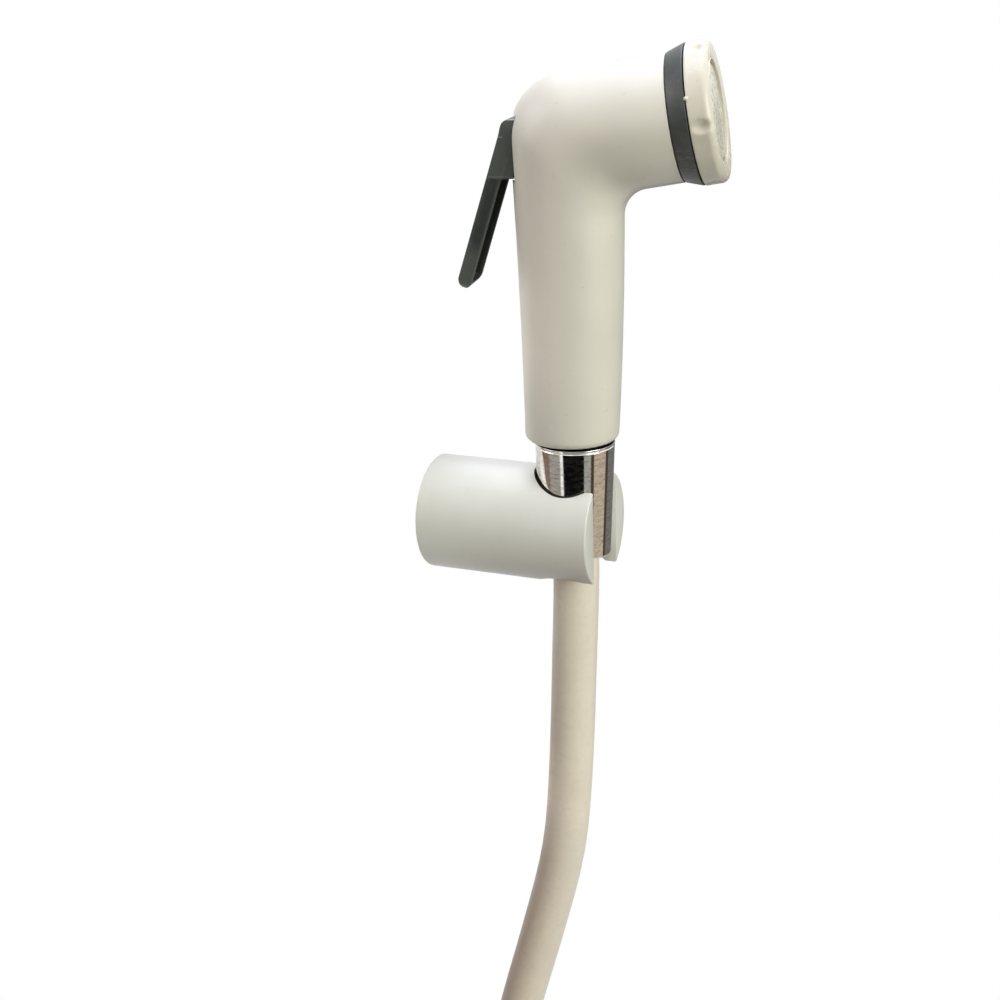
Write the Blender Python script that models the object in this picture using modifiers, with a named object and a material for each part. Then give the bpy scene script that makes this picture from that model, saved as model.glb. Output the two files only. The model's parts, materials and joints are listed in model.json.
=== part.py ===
"""Handheld bidet shower, resting in its wall cradle, with its hose.

Metres, +Z up. The origin is on the wall, at the centre of the cradle's wall plate.
+X leaves the wall along the cradle's axis, and +Y is sideways.

The handset stands upright in the cradle and is turned a little about its inlet.
Its own frame has +X towards the spray face, +Z up and its origin on the inlet's axis.
The spray head has a frame too, with +Z along the head towards the face and +X down.
"""

from math import atan2, cos, pi, radians, sin, sqrt, tan

import bmesh
import bpy
from mathutils import Matrix, Vector

# Clearances
GAP = 0.0003
HOSE_HOLE_CLEARANCE = 0.00035
BAND_CLEARANCE = 0.00045
TAIL_CLEARANCE = 0.00078
INSERT_TAIL_INSET = 0.0010
CUTTER_OVERSHOOT = 0.0010
CRADLE_CUTTER_OVERSHOOT = 0.0060
SMALL_EDGE = 0.0003

# Facets round a turned piece
LARGE_STEPS = 36
RING_STEPS = 28
SMALL_STEPS = 16
BODY_SIDES = 28
ELBOW_SECTIONS = 10
SPRAY_HOLE_SIDES = 6

# Wall cradle
CRADLE_RADIUS = 0.0176
CRADLE_LENGTH = 0.055
CRADLE_WALL = 0.0024
CRADLE_EDGE = 0.0006
BORE_FROM_WALL = 0.0456
SLOT_START = 0.0020
BORE_MOUTH_RADIUS = 0.0121
BORE_SEAT_RADIUS = 0.0116
SEAT_LEDGE_THICKNESS = 0.0055
SEAT_LEDGE_HOLE_RADIUS = 0.0082
SEAT_LEDGE_FRONT_ANGLE = radians(82)
SLOT_WIDTH = 0.0201
CAVITY_DEPTH = 0.0300
CAVITY_END_CHAMFER = 0.0020

# Wall plate and its screws
PLATE_THICKNESS = 0.0026
PLATE_COLLAR_LENGTH = 0.0095
PLATE_COLLAR_WALL = 0.0020
SNAP_HEIGHT = 0.0004
SNAP_WIDTH = 0.0014
SNAP_FROM_COLLAR_END = 0.0025
COLLAR_EDGE = 0.0004
SCREW_SPACING = 0.0160
SCREW_SHANK_RADIUS = 0.0019
SCREW_HEAD_RADIUS = 0.0037
SCREW_HEAD_HEIGHT = 0.0021
SCREW_HEAD_EDGE = 0.0002
SCREW_LENGTH = 0.0280
SCREW_TIP_LENGTH = 0.0040
SCREW_DRIVE_SPAN = 0.00456
SCREW_DRIVE_WIDTH = 0.0010
SCREW_DRIVE_DEPTH = 0.0010

# Handset as a whole
HANDSET_TURN = radians(10.2)
GRIP_BASE_HEIGHT = 0.0276
HEAD_TILT = radians(9.4)
HEAD_AXIS_HEIGHT = 0.11586

# Grip outline: how far its front and its back lie from the inlet's axis
GRIP_FRONT_BASE = 0.01315
GRIP_FRONT_MIDDLE = 0.01455
GRIP_FRONT_TOP = 0.01505
GRIP_BACK_BASE = 0.01465
GRIP_BACK_MIDDLE = 0.01515
GRIP_BACK_TOP = 0.01620
GRIP_BASE_ROUND = 0.0022
BACK_LEAN = radians(2.2)
CROTCH_RADIUS = 0.0080
ELBOW_RADIUS = 0.0170

# Head outline, measured along the head's axis
HEAD_RADIUS = 0.0178
SHOULDER = 0.03017
SPIGOT_RADIUS = 0.0154
SPIGOT_END = 0.0374
SHOULDER_EDGE = 0.0003
SHOULDER_EDGE_LENGTH = 0.0005

# Inlet nipple
NIPPLE_RADIUS = 0.0103
NIPPLE_LENGTH = 0.0097
NIPPLE_BORE_RADIUS = 0.0065
NIPPLE_BORE_RUN = 0.0020

# Waterways inside the body
GRIP_CAVITY_BASE_RADIUS = 0.0100
GRIP_CAVITY_TOP_RADIUS = 0.0113
GRIP_CAVITY_BASE_HEIGHT = 0.0370
GRIP_CAVITY_CEILING_DROP = 0.01986
GRIP_CAVITY_THROAT_RADIUS = 0.0070
GRIP_CAVITY_THROAT_LENGTH = 0.0060
DUCT_RADIUS = 0.0038
DUCT_SETBACK = 0.0020
DUCT_OVERLAP = 0.0030
HEAD_CAVITY_RADIUS = 0.0134
HEAD_CAVITY_LEDGE = 0.0008
HEAD_CAVITY_CHAMFER = 0.0010
INSERT_LEDGE = 0.0226
VALVE_DROP = 0.0055
VALVE_BORE_RADIUS = 0.0043
CHAMBER_RADIUS = 0.0065
CHAMBER_START = -0.0056
CHAMBER_END = 0.0014
CHAMBER_SLOPE = 0.0006
SEAT_WALL_END = 0.0046

# Lever, its pocket and its pivot, in the handset's own frame
POCKET_FLOOR_MARGIN = 0.0004
POCKET_FOOT_MARGIN = 0.0009
POCKET_CROWN_MARGIN = 0.0010
POCKET_SIDE_MARGIN = 0.0004
PIVOT_SETBACK = 0.0118
PIVOT_ABOVE_AXIS = 0.00274
TRUNNION_RADIUS = 0.0013
TRUNNION_REACH = 0.0014
LEVER_WIDTH = 0.0140
LEVER_SIDE_WALL = 0.0018
LEVER_BACK_WALL = 0.0017
LEVER_THICKNESS = 0.0041
LEVER_LEAN = radians(17.7)
LEVER_LENGTH = 0.0456
LEVER_TIP_SETBACK = 0.0305
LEVER_TIP_CORNER = 0.0050
LEVER_HEEL_DROP = 0.0018
LEVER_EDGE_ROUND = 0.0012
LEVER_BOSS_RADIUS = 0.0027
LEVER_BOSS_FOOT_ANGLE = radians(-110)
LEVER_CROWN_RUN = 0.0022
LEVER_CROWN_FALL = 0.0024
BLOCK_LENGTH = 0.0138
BLOCK_WEB_DROP = 0.00621
BLOCK_FRONT = 0.0150

# Valve stem and its rings
STEM_RADIUS = 0.0040
STEM_WAIST_RADIUS = 0.0022
STEM_FLANGE_RADIUS = 0.0058
STEM_FLANGE_THICKNESS = 0.0017
STEM_GUIDE_RADIUS = 0.0026
STEM_GUIDE_LENGTH = 0.0034
STEM_TAIL_ROUND = 0.0012
STEM_WAIST_SLOPE = 0.0018
RING_SECTION_RADIUS = 0.00045
RING_CENTRE_RADIUS = 0.0036
RING_GROOVE_HALF_WIDTH = 0.00070
REAR_RING_PLACE = -0.0089
FRONT_RING_PLACE = 0.00355
SPRING_RADIUS = 0.0043
SPRING_WIRE_RADIUS = 0.00030
SPRING_TURNS = 5.5
SPRING_POINTS_PER_TURN = 9
SPRING_FLAT_TURNS = 0.75

# Parts stacked in the head
INSERT_DISC_THICKNESS = 0.0022
INSERT_RIM_WALL = 0.0012
SPRING_CUP_RADIUS = 0.0062
SPRING_CUP_DEPTH = 0.0017
SPRING_CUP_LENGTH = 0.0023
INSERT_HOLE_RADIUS = 0.0016
INSERT_HOLE_CIRCLE = 0.0086
INSERT_HOLE_COUNT = 6
INSERT_HOLE_SIDES = 10
INSERT_HOLE_SPREAD = radians(200)
GASKET_THICKNESS = 0.0012
PLATE_FLANGE_THICKNESS = 0.0014
SPRAY_FIELD_RADIUS = 0.0132
SPRAY_FIELD_HEIGHT = 0.0007
SPRAY_FIELD_SLOPE = 0.0004
SPRAY_HOLE_RADIUS = 0.00055
SPRAY_RING_PITCH = 0.0034
SPRAY_RINGS = 3
HEAD_RING_LENGTH = 0.0050
CAP_RADIUS = 0.01957
CAP_BACK = 0.0358
CAP_LENGTH = 0.0064
CAP_EDGE_ROUND = 0.0020
CAP_LIP_THICKNESS = 0.0013
CAP_LIP_WIDTH = 0.0018
NOTCH_COUNT = 5
NOTCH_FIRST_ANGLE = radians(-5.4)
NOTCH_HALF_WIDTH = 0.0023
NOTCH_HALF_LENGTH = 0.0029
NOTCH_DEPTH = 0.0009

# Hose nut
NUT_TOP_RADIUS = 0.01200
NUT_BOTTOM_RADIUS = 0.01060
NUT_BOTTOM_HEIGHT = -0.0080
NUT_BEAD_HEIGHT = 0.0010
NUT_GROOVE_DEPTH = 0.0003
NUT_GROOVE_WIDTH = 0.0003
NUT_FOOT_CHAMFER = 0.0006
WASHER_THICKNESS = 0.0016
INSERT_FLANGE_THICKNESS = 0.0016
INSERT_TAIL_RADIUS = 0.0042
INSERT_TAIL_BORE_RADIUS = 0.0032
BARB_HEIGHT = 0.0003
BARB_COUNT = 3
BARB_PITCH = 0.0030
BARB_START = 0.0020
BARB_SHARE = 0.8

# Hose
HOSE_RADIUS = 0.0070
HOSE_LENGTH = 1.200
HOSE_POINT_SPACING = 0.020
COIL_RADIUS = 0.0700
COIL_TURNS = 2
COIL_CENTRE_HEIGHT = -0.2620
COIL_LAYER_OFFSET = 0.0146
TIE_WIDTH = 0.0080
TIE_THICKNESS = 0.0012

# Supply end
SUPPLY_NUT_ACROSS_FLATS = 0.0240
SUPPLY_NUT_HEX_LENGTH = 0.0140
SUPPLY_NUT_NECK_LENGTH = 0.0070
SUPPLY_NUT_NECK_RADIUS = 0.0105
SUPPLY_NUT_THREAD_DEPTH = 0.0100
SUPPLY_NUT_EDGE = 0.0008
SUPPLY_NUT_CORNER_START = 0.0006
SUPPLY_NUT_CORNER_DROP = 0.0012
SUPPLY_NUT_ABOVE_HOSE_END = 0.0010

# The hose's centre line below the nut: distance from the wall, and height
HOSE_ROUTE = (
    (0.0456, -0.0072),
    (0.0455, -0.0200),
    (0.0446, -0.0430),
    (0.0436, -0.0680),
    (0.0426, -0.0860),
    (0.0413, -0.1020),
    (0.0393, -0.1150),
    (0.0366, -0.1270),
    (0.0332, -0.1400),
    (0.0297, -0.1530),
    (0.0263, -0.1650),
    (0.0231, -0.1770),
    (0.0200, -0.1900),
    (0.0173, -0.2050),
    (0.0156, -0.2220),
    (0.0148, -0.2400),
    (0.0146, -0.2620),
)

# Worked out from the driving dimensions
NUT_TOP_HEIGHT = GRIP_BASE_HEIGHT - GAP
NIPPLE_END_HEIGHT = GRIP_BASE_HEIGHT - NIPPLE_LENGTH
NUT_THREAD_RADIUS = NIPPLE_RADIUS + GAP
NUT_HOSE_HOLE_RADIUS = HOSE_RADIUS + HOSE_HOLE_CLEARANCE
FLANGE_RADIUS = NUT_THREAD_RADIUS - GAP
POCKET_HALF_WIDTH = LEVER_WIDTH / 2 + POCKET_SIDE_MARGIN
POCKET_FLOOR = LEVER_BOSS_RADIUS + POCKET_FLOOR_MARGIN - PIVOT_SETBACK
PIVOT_HEIGHT = HEAD_AXIS_HEIGHT + PIVOT_ABOVE_AXIS
BLOCK_BOTTOM = PIVOT_HEIGHT - BLOCK_LENGTH
LEVER_TIP_HEIGHT = PIVOT_HEIGHT - LEVER_LENGTH
POCKET_BOTTOM = BLOCK_BOTTOM - POCKET_FOOT_MARGIN
POCKET_TOP = PIVOT_HEIGHT + LEVER_BOSS_RADIUS + POCKET_CROWN_MARGIN
GRIP_CAVITY_TOP_HEIGHT = HEAD_AXIS_HEIGHT - GRIP_CAVITY_CEILING_DROP
CAVITY_RADIUS = CRADLE_RADIUS - CRADLE_WALL
COLLAR_RADIUS = CAVITY_RADIUS - GAP
PLATE_FRONT = SPIGOT_END + GAP + GASKET_THICKNESS + GAP
THREAD_RADIUS = SPIGOT_RADIUS + GAP
CAP_FRONT = CAP_BACK + CAP_LENGTH
STEM_FLANGE_BACK = SEAT_WALL_END + GAP
SNAP_PLACE = PLATE_THICKNESS + PLATE_COLLAR_LENGTH - SNAP_FROM_COLLAR_END


# Small tools for building

def clear_scene():
    for obj in list(bpy.data.objects):
        bpy.data.objects.remove(obj, do_unlink=True)


def new_collection(name):
    made = bpy.data.collections.new(name)
    bpy.context.scene.collection.children.link(made)
    return made


def new_material(name, color, roughness, metallic=0.0):
    made = bpy.data.materials.new(name)
    made.use_nodes = True
    shader = made.node_tree.nodes["Principled BSDF"]
    shader.inputs["Base Color"].default_value = (*color, 1.0)
    shader.inputs["Roughness"].default_value = roughness
    shader.inputs["Metallic"].default_value = metallic
    made.diffuse_color = (*color, 1.0)
    return made


def new_empty(name, parent=None, location=(0, 0, 0), rotation=(0, 0, 0)):
    made = bpy.data.objects.new(name, None)
    made.empty_display_size = 0.01
    PARTS.objects.link(made)
    made.parent = parent
    made.location = location
    made.rotation_euler = rotation
    return made


def place(obj, material, parent=None, location=(0, 0, 0), rotation=(0, 0, 0)):
    """Gives an object its material and its place, in the parts' collection."""
    for holder in obj.users_collection:
        holder.objects.unlink(obj)
    PARTS.objects.link(obj)
    obj.data.materials.clear()
    obj.data.materials.append(material)
    obj.parent = parent
    obj.location = location
    obj.rotation_euler = rotation
    return obj


def hide_as_cutter(obj, parent=None, location=(0, 0, 0), rotation=(0, 0, 0)):
    for holder in obj.users_collection:
        holder.objects.unlink(obj)
    CUTTERS.objects.link(obj)
    obj.parent = parent
    obj.location = location
    obj.rotation_euler = rotation
    obj.hide_render = True
    obj.display_type = "WIRE"
    return obj


def object_from(name, bm):
    bmesh.ops.recalc_face_normals(bm, faces=bm.faces)
    mesh = bpy.data.meshes.new(name)
    bm.to_mesh(mesh)
    bm.free()
    mesh.shade_smooth()
    mesh.set_sharp_from_angle(angle=radians(35))
    obj = bpy.data.objects.new(name, mesh)
    PARTS.objects.link(obj)
    return obj


def boolean(obj, other, operation="DIFFERENCE"):
    step = obj.modifiers.new(f"{operation.lower()} {other.name}", "BOOLEAN")
    step.operation = operation
    step.solver = "EXACT"
    step.object = other


def turned(name, profile, steps=RING_STEPS):
    """A turned solid about Z, from (radius, height) points of its closed section."""
    area = 0.0
    for (r0, z0), (r1, z1) in zip(profile, profile[1:] + profile[:1]):
        area += r0 * z1 - r1 * z0
    points = list(profile) if area < 0 else list(reversed(profile))
    bm = bmesh.new()
    verts = [bm.verts.new((r, 0, z)) for r, z in points]
    for a, b in zip(verts, verts[1:] + verts[:1]):
        on_axis = a.co.x < 1e-9 and b.co.x < 1e-9
        if not on_axis:
            bm.edges.new((a, b))
    mesh = bpy.data.meshes.new(name)
    bm.to_mesh(mesh)
    bm.free()
    obj = bpy.data.objects.new(name, mesh)
    PARTS.objects.link(obj)
    screw = obj.modifiers.new("turn", "SCREW")
    screw.axis = "Z"
    screw.angle = 2 * pi
    screw.steps = steps
    screw.render_steps = steps
    screw.use_merge_vertices = True
    screw.merge_threshold = 0.00002
    return obj


def rod(name, radius, length, steps=RING_STEPS):
    """A cylinder about Z that starts at its origin."""
    bm = bmesh.new()
    bmesh.ops.create_cone(
        bm, cap_ends=True, segments=steps, radius1=radius, radius2=radius, depth=length,
        matrix=Matrix.Translation((0, 0, length / 2)),
    )
    return object_from(name, bm)


def block(name, low, high):
    """A box between two corners."""
    low, high = Vector(low), Vector(high)
    size = high - low
    bm = bmesh.new()
    bmesh.ops.create_cube(
        bm, size=1.0, matrix=Matrix.Translation((low + high) / 2) @ Matrix.Diagonal((*size, 1))
    )
    return object_from(name, bm)


def prism(name, outline, low, high, upright=False):
    """A flat outline made thick: (x, z) points along Y, or (x, y) points along Z if upright."""
    bm = bmesh.new()
    if upright:
        verts = [bm.verts.new((a, b, low)) for a, b in outline]
        shift = Vector((0, 0, high - low))
    else:
        verts = [bm.verts.new((a, low, b)) for a, b in outline]
        shift = Vector((0, high - low, 0))
    face = bm.faces.new(verts)
    made = bmesh.ops.extrude_face_region(bm, geom=[face])["geom"]
    moved = [item for item in made if isinstance(item, bmesh.types.BMVert)]
    bmesh.ops.translate(bm, vec=shift, verts=moved)
    return bm


def arc(centre, radius, start, end, count):
    """Points on an arc, both ends included."""
    points = []
    for i in range(count + 1):
        angle = start + (end - start) * i / count
        points.append((centre[0] + radius * cos(angle), centre[1] + radius * sin(angle)))
    return points


def smooth_route(points, spacing):
    """Evenly spaced points on a smooth curve through a list of 3D points."""
    points = [Vector(p) for p in points]
    padded = [2 * points[0] - points[1]] + points + [2 * points[-1] - points[-2]]
    dense = []
    for i in range(1, len(padded) - 2):
        a, b, c, d = padded[i - 1:i + 3]
        for k in range(12):
            t = k / 12
            dense.append(0.5 * (
                2 * b + (c - a) * t + (2 * a - 5 * b + 4 * c - d) * t * t
                + (3 * b - a - 3 * c + d) * t ** 3
            ))
    dense.append(points[-1])
    lengths = [0.0]
    for a, b in zip(dense, dense[1:]):
        lengths.append(lengths[-1] + (b - a).length)
    count = max(2, round(lengths[-1] / spacing))
    picked = []
    j = 0
    for i in range(count + 1):
        want = lengths[-1] * i / count
        while j < len(dense) - 2 and lengths[j + 1] < want:
            j += 1
        share = (want - lengths[j]) / (lengths[j + 1] - lengths[j])
        picked.append(dense[j].lerp(dense[j + 1], min(1.0, max(0.0, share))))
    return picked, lengths[-1]


def tube(name, points, radius, resolution):
    """A round tube or wire along a list of points, with closed ends."""
    curve = bpy.data.curves.new(name, "CURVE")
    curve.dimensions = "3D"
    curve.bevel_depth = radius
    curve.bevel_resolution = resolution
    curve.use_fill_caps = True
    spline = curve.splines.new("POLY")
    spline.points.add(len(points) - 1)
    for target, point in zip(spline.points, points):
        target.co = (*point, 1)
    obj = bpy.data.objects.new(name, curve)
    PARTS.objects.link(obj)
    return obj


# Handset body

def through_three(base, middle, top, share):
    """A smooth value through three stations at shares 0, 0.5 and 1."""
    a = 2 * (base + top - 2 * middle)
    b = top - base - a
    return base + b * share + a * share * share


def crotch_centre():
    """Centre of the rounded corner between the grip's front and the head's underside."""
    x = GRIP_FRONT_TOP + CROTCH_RADIUS
    across = -HEAD_RADIUS - CROTCH_RADIUS
    z = HEAD_AXIS_HEIGHT + (across + x * sin(HEAD_TILT)) / cos(HEAD_TILT)
    return Vector((x, z))


def outer_reach(origin, direction, back_point):
    """Distance from a point to the outline of the back, the rounded elbow and the head's top."""
    back_normal = Vector((-cos(BACK_LEAN), -sin(BACK_LEAN)))
    top_normal = Vector((-sin(HEAD_TILT), cos(HEAD_TILT)))
    axis_point = Vector((0, HEAD_AXIS_HEIGHT))
    back_level = back_normal.dot(back_point)
    top_level = top_normal.dot(axis_point) + HEAD_RADIUS
    # the elbow's centre lies its radius inside both lines
    det = back_normal.x * top_normal.y - back_normal.y * top_normal.x
    p, q = back_level - ELBOW_RADIUS, top_level - ELBOW_RADIUS
    centre = Vector((
        (p * top_normal.y - q * back_normal.y) / det,
        (back_normal.x * q - top_normal.x * p) / det,
    ))
    reaches = []
    for normal, level in ((back_normal, back_level), (top_normal, top_level)):
        slope = normal.dot(direction)
        if slope > 1e-6:
            reaches.append((level - normal.dot(origin)) / slope)
    reach = min(reaches)
    to_centre = origin - centre
    half = to_centre.dot(direction)
    root = half * half - to_centre.length_squared + ELBOW_RADIUS ** 2
    if root > 0:
        on_arc = -half + sqrt(root)
        out = (origin + direction * on_arc - centre) / ELBOW_RADIUS
        past_back = out.dot(Vector((-back_normal.y, back_normal.x))) < 0
        past_top = out.dot(Vector((top_normal.y, -top_normal.x))) < 0
        if past_back and past_top:
            reach = on_arc
    return reach


def ring_of(bm, inner, outer, half_width):
    """An upright ellipse of vertices between two points of the side outline."""
    inner, outer = Vector(inner), Vector(outer)
    middle = (inner + outer) / 2
    along = (outer - inner) / 2
    ring = []
    for i in range(BODY_SIDES):
        angle = 2 * pi * i / BODY_SIDES
        at = middle + along * cos(angle)
        ring.append(bm.verts.new((at.x, half_width * sin(angle), at.y)))
    return ring


def body_rings(bm):
    """Cross sections of the body, from the nipple's end up the grip and along the head."""
    rings = []
    for height, radius in (
        (NIPPLE_END_HEIGHT, NIPPLE_RADIUS - NUT_FOOT_CHAMFER),
        (NIPPLE_END_HEIGHT + NUT_FOOT_CHAMFER, NIPPLE_RADIUS),
        (GRIP_BASE_HEIGHT, NIPPLE_RADIUS),
    ):
        rings.append(ring_of(bm, (radius, height), (-radius, height), radius))
    corner = crotch_centre()
    span = corner.y - GRIP_BASE_HEIGHT
    stations = []
    for i in range(5):
        angle = pi / 2 * i / 4
        stations.append((
            GRIP_BASE_ROUND * (1 - cos(angle)), GRIP_BASE_ROUND * (1 - sin(angle))
        ))
    stations += [(span * share, 0.0) for share in (0.2, 0.4, 0.6, 0.8)]
    for rise, shrink in stations:
        share = rise / span
        front = through_three(GRIP_FRONT_BASE, GRIP_FRONT_MIDDLE, GRIP_FRONT_TOP, share) - shrink
        back = through_three(GRIP_BACK_BASE, GRIP_BACK_MIDDLE, GRIP_BACK_TOP, share) - shrink
        height = GRIP_BASE_HEIGHT + rise
        rings.append(ring_of(bm, (front, height), (-back, height), (front + back) / 2))
    grip_half = (GRIP_FRONT_TOP + GRIP_BACK_TOP) / 2
    back_point = Vector((-GRIP_BACK_TOP, corner.y))
    for i in range(ELBOW_SECTIONS + 1):
        share = i / ELBOW_SECTIONS
        angle = pi - (pi / 2 - HEAD_TILT) * share
        direction = Vector((cos(angle), sin(angle)))
        inner = corner + direction * CROTCH_RADIUS
        outer = corner + direction * outer_reach(corner, direction, back_point)
        blend = share * share * (3 - 2 * share)
        rings.append(ring_of(bm, inner, outer, grip_half + (HEAD_RADIUS - grip_half) * blend))
    across = Vector((-sin(HEAD_TILT), cos(HEAD_TILT)))
    forward = Vector((cos(HEAD_TILT), sin(HEAD_TILT)))
    for place_along, radius in (
        (SHOULDER - SHOULDER_EDGE_LENGTH, HEAD_RADIUS),
        (SHOULDER, HEAD_RADIUS - SHOULDER_EDGE),
        (SHOULDER, SPIGOT_RADIUS),
        (SPIGOT_END, SPIGOT_RADIUS),
    ):
        centre = Vector((0, HEAD_AXIS_HEIGHT)) + forward * place_along
        rings.append(ring_of(bm, centre - across * radius, centre + across * radius, radius))
    return rings


def handset_body(frame, head, valve):
    bm = bmesh.new()
    rings = body_rings(bm)
    for low, high in zip(rings, rings[1:]):
        for i in range(len(low)):
            j = (i + 1) % len(low)
            bm.faces.new((low[i], low[j], high[j], high[i]))
    bm.faces.new(rings[0])
    bm.faces.new(rings[-1])
    obj = place(object_from("handset_body", bm), WHITE, frame)

    grip = hide_as_cutter(turned("grip cavity", [
        (0, NIPPLE_END_HEIGHT - CUTTER_OVERSHOOT),
        (NIPPLE_BORE_RADIUS, NIPPLE_END_HEIGHT - CUTTER_OVERSHOOT),
        (NIPPLE_BORE_RADIUS, GRIP_BASE_HEIGHT + NIPPLE_BORE_RUN),
        (GRIP_CAVITY_BASE_RADIUS, GRIP_CAVITY_BASE_HEIGHT),
        (GRIP_CAVITY_TOP_RADIUS, GRIP_CAVITY_TOP_HEIGHT - GRIP_CAVITY_THROAT_LENGTH),
        (GRIP_CAVITY_THROAT_RADIUS, GRIP_CAVITY_TOP_HEIGHT),
        (0, GRIP_CAVITY_TOP_HEIGHT),
    ], RING_STEPS), frame)
    duct_foot = GRIP_CAVITY_TOP_HEIGHT - DUCT_OVERLAP
    duct_top = HEAD_AXIS_HEIGHT - VALVE_DROP - DUCT_OVERLAP
    duct = hide_as_cutter(
        rod("duct", DUCT_RADIUS, duct_top - duct_foot, SMALL_STEPS), frame, (-DUCT_SETBACK, 0, duct_foot)
    )
    valve_start = POCKET_FLOOR - LEVER_THICKNESS
    valve_way = hide_as_cutter(turned("valve way", [
        (0, valve_start),
        (VALVE_BORE_RADIUS, valve_start),
        (VALVE_BORE_RADIUS, CHAMBER_START),
        (CHAMBER_RADIUS, CHAMBER_START + CHAMBER_SLOPE),
        (CHAMBER_RADIUS, CHAMBER_END - CHAMBER_SLOPE),
        (VALVE_BORE_RADIUS, CHAMBER_END),
        (VALVE_BORE_RADIUS, SEAT_WALL_END + CUTTER_OVERSHOOT),
        (0, SEAT_WALL_END + CUTTER_OVERSHOOT),
    ], SMALL_STEPS), valve)
    ledge_radius = HEAD_CAVITY_RADIUS - HEAD_CAVITY_LEDGE
    head_cavity = hide_as_cutter(turned("head cavity", [
        (0, SEAT_WALL_END),
        (ledge_radius - HEAD_CAVITY_CHAMFER, SEAT_WALL_END),
        (ledge_radius, SEAT_WALL_END + HEAD_CAVITY_CHAMFER),
        (ledge_radius, INSERT_LEDGE),
        (HEAD_CAVITY_RADIUS, INSERT_LEDGE),
        (HEAD_CAVITY_RADIUS, SPIGOT_END + CUTTER_OVERSHOOT),
        (0, SPIGOT_END + CUTTER_OVERSHOOT),
    ]), head)
    pocket = hide_as_cutter(block(
        "lever pocket",
        (POCKET_FLOOR - 2 * LEVER_WIDTH, -POCKET_HALF_WIDTH, POCKET_BOTTOM),
        (POCKET_FLOOR, POCKET_HALF_WIDTH, POCKET_TOP),
    ), frame)
    reach = LEVER_WIDTH / 2 + TRUNNION_REACH + GAP
    sockets = hide_as_cutter(
        rod("trunnion sockets", TRUNNION_RADIUS + GAP, 2 * reach, SMALL_STEPS),
        frame, (-PIVOT_SETBACK, -reach, PIVOT_HEIGHT), (-pi / 2, 0, 0),
    )
    for cutter in (grip, duct, valve_way, head_cavity, pocket, sockets):
        boolean(obj, cutter)


# Lever and valve

def lever_bar():
    """Centre of the bar's rounded tip, the way up the bar, and the way out from the handle."""
    tip = Vector((-LEVER_TIP_SETBACK, LEVER_TIP_HEIGHT + LEVER_THICKNESS / 2))
    up = Vector((sin(LEVER_LEAN), cos(LEVER_LEAN)))
    out = Vector((-cos(LEVER_LEAN), sin(LEVER_LEAN)))
    return tip, up, out


def lever_outline():
    """Side outline of the lever, (x, z) in the handset's frame, without its channel."""
    tip, up, out = lever_bar()
    tip_radius = LEVER_THICKNESS / 2
    pivot = (-PIVOT_SETBACK, PIVOT_HEIGHT)
    heel = PIVOT_HEIGHT - LEVER_HEEL_DROP
    # the bar's inner edge ends at the block's underside, its outer edge at the heel
    inner_foot = tip - out * tip_radius
    outer_foot = tip + out * tip_radius
    inner_top = inner_foot + up * (BLOCK_BOTTOM - inner_foot.y) / up.y
    outer_top = outer_foot + up * (heel - outer_foot.y) / up.y
    crown = PIVOT_HEIGHT + LEVER_BOSS_RADIUS
    points = [
        (-BLOCK_FRONT, BLOCK_BOTTOM),
        (-BLOCK_FRONT, PIVOT_HEIGHT - BLOCK_WEB_DROP),
    ]
    points += arc(pivot, LEVER_BOSS_RADIUS, LEVER_BOSS_FOOT_ANGLE, pi / 2, 8)
    # the crown falls in a soft curve to the bar's outer face
    for across, down in ((1.0, 0.125), (0.5, 0.46), (0.23, 1.0)):
        points.append((outer_top.x + across * LEVER_CROWN_RUN, crown - down * LEVER_CROWN_FALL))
    points.append(tuple(outer_top))
    start = atan2(out.y, out.x)
    points += arc(tip, tip_radius, start, start + pi, 6)
    points.append(tuple(inner_top))
    return points


def bar_prism(name, inset, top, low, high):
    """A strip along the bar with a rounded end, drawn in by a wall, as a cutter in the handset's frame."""
    tip, up, out = lever_bar()
    half = LEVER_WIDTH / 2 - inset
    corner = LEVER_TIP_CORNER - inset
    foot = inset - LEVER_THICKNESS / 2
    outline = [(half, top), (-half, top)]
    outline += arc((corner - half, foot + corner), corner, pi, 1.5 * pi, 5)
    outline += arc((half - corner, foot + corner), corner, 1.5 * pi, 2 * pi, 5)
    strip = prism(name, [(b, a) for a, b in outline], low, high, True)
    # its frame: X up the bar, Y across it, Z out from the handle
    turn = Matrix((
        (up.x, 0, out.x, tip.x),
        (0, 1, 0, 0),
        (up.y, 0, out.y, tip.y),
        (0, 0, 0, 1),
    ))
    bmesh.ops.transform(strip, matrix=turn, verts=strip.verts)
    return object_from(name, strip)


def lever_corners(frame):
    """The lever's outline seen from behind, with a rounded tip, thicker than the whole lever."""
    tip, up, out = lever_bar()
    top = (PIVOT_HEIGHT + 2 * LEVER_BOSS_RADIUS - tip.y) / up.y
    return hide_as_cutter(bar_prism("lever corners", 0, top, -2 * LEVER_WIDTH, 2 * LEVER_WIDTH), frame)


def lever_channel(frame):
    """The channel in the bar's handle side."""
    tip, up, out = lever_bar()
    top = (BLOCK_BOTTOM - GAP - tip.y) / up.y
    floor = LEVER_THICKNESS / 2 - LEVER_BACK_WALL
    return hide_as_cutter(bar_prism("lever channel", LEVER_SIDE_WALL, top, -LEVER_WIDTH, floor), frame)


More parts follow.
